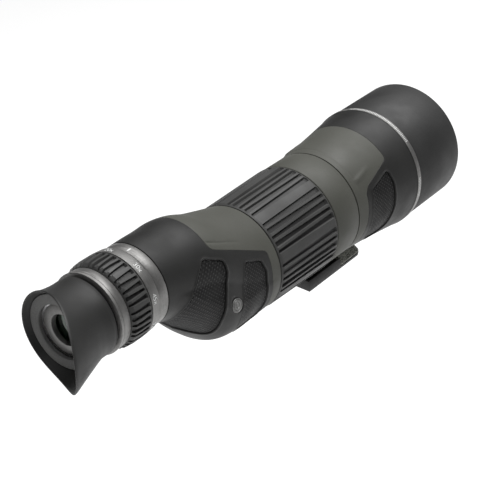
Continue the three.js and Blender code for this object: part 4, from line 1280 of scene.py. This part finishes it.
def softened(name, node, width, material=None, angle=30):
    """The CAD piece's own solid with its sharp edges broken by a small round."""
    mesh = frame["nodes"][node].data.copy()
    mesh.materials.clear()
    work = bmesh.new()
    work.from_mesh(mesh)
    bmesh.ops.remove_doubles(work, verts=work.verts, dist=WELD)
    bmesh.ops.dissolve_limit(
        work, angle_limit=math.radians(1), verts=work.verts, edges=work.edges)
    edges = [
        e for e in work.edges
        if len(e.link_faces) == 2 and e.calc_face_angle(0) > math.radians(angle)
    ]
    bmesh.ops.bevel(
        work, geom=edges, offset=width * MM, segments=2, profile=0.6, affect="EDGES", clamp_overlap=True)
    work.to_mesh(mesh)
    work.free()
    mesh.name = name
    mesh.shade_smooth()
    mesh.set_sharp_from_angle(angle=math.radians(45))
    piece = bpy.data.objects.new(name, mesh)
    bpy.context.scene.collection.objects.link(piece)
    mesh.materials.append(MATERIALS[material or SLOT_OF[node]])
    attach(piece, BODY_OF[node])
    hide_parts(node)


def add_foot():
    softened("foot_rail_machined", "foot_rail", 0.35)
    add_foot_block()
    softened("thread_insert_turned", "tripod_thread_insert", 0.2)
    for i in (1, 2):
        softened(f"foot_screw_{i}_turned", f"foot_screw_{i}", 0.2)


def add_foot_block():
    """The cast block at the front of the foot: draughted sides, a tapered nose and a pebbled skin."""
    bottom = FOOT_BOTTOM + 2.05
    shape = np.array([
        (89.35, 14.9, -37.9), (89.8, 15, -37.6), (94, 15, -37.6), (99, 15, -37.6), (104, 15, -37.6), (106.2, 15, -37.7),
        (107.8, 15, -38.5), (109, 14.8, -39.9), (111, 13.9, -42.2), (112.2, 12.9, -43.5), (112.7, 12.3, -44.0),
    ])
    sections = []
    for station in np.append(np.arange(shape[0, 0], shape[-1, 0], 0.45), shape[-1, 0]):
        half = smooth_table(shape[:, 0], shape[:, 1], station)
        top = min(smooth_table(shape[:, 0], shape[:, 2], station), -37.6)
        lean = 4 * (top - bottom) / 6.8
        shoulder = bottom + min(1.0, 0.4 * (top - bottom))
        outline = fillet(
            [(-half, bottom), (half, bottom), (half, shoulder), (half - lean, top), (lean - half, top),
             (-half, shoulder)], 0.8, 3)
        sections.append((station, even_outline(outline, 130)))
    points, faces = lofted(sections)
    for point in points:
        grain = 0.6 * noise.noise(Vector(point) * 1.7)
        if point[2] > bottom + 1.2:
            point[2] += 0.22 * grain
            point[0] += 0.16 * grain * np.sign(point[0])
    make("foot_block_cast", points, faces, "foot_block", material="cast_green", sharp=75)


def even_outline(outline, count):
    """The same closed outline with evenly spaced points."""
    outline = np.array(outline)
    closed = np.vstack([outline, outline[:1]])
    lengths = np.concatenate([[0], np.cumsum(np.linalg.norm(np.diff(closed, axis=0), axis=1))])
    at = np.linspace(0, lengths[-1], count, endpoint=False)
    return np.stack([np.interp(at, lengths, closed[:, 0]), np.interp(at, lengths, closed[:, 1])], -1)


def finish_hidden_nodes():
    """The pieces inside keep their CAD shapes and get their own finishes."""
    for node, item in frame["nodes"].items():
        item.data.materials.clear()
        item.data.materials.append(MATERIALS[SLOT_OF[node]])


def add_floor():
    size = 4.0
    mesh = bpy.data.meshes.new("floor")
    mesh.from_pydata([(-size, -size, 0), (size, -size, 0), (size, size, 0), (-size, size, 0)], [], [(0, 1, 2, 3)])
    floor = bpy.data.objects.new("floor", mesh)
    bpy.context.scene.collection.objects.link(floor)
    floor.location.z = -0.35
    finish = Finish("paper_floor", (0.7, 0.7, 0.7), 0.9, Emission_Strength=0.5)
    finish.shader.inputs["Emission Color"].default_value = (1, 1, 1, 1)
    finish.tint(finish.ramp(finish.noise(3), 0.4, 0.7), (0.69, 0.69, 0.69))
    mesh.materials.append(finish.done(spread=0.02))


def main():
    add_camera()
    add_studio()
    add_materials()
    add_floor()
    finish_hidden_nodes()
    add_housing()
    add_bell()
    add_focus_ring()
    add_eyepiece()
    add_eyecup()
    add_front_end()
    add_collar()
    add_foot()


main()
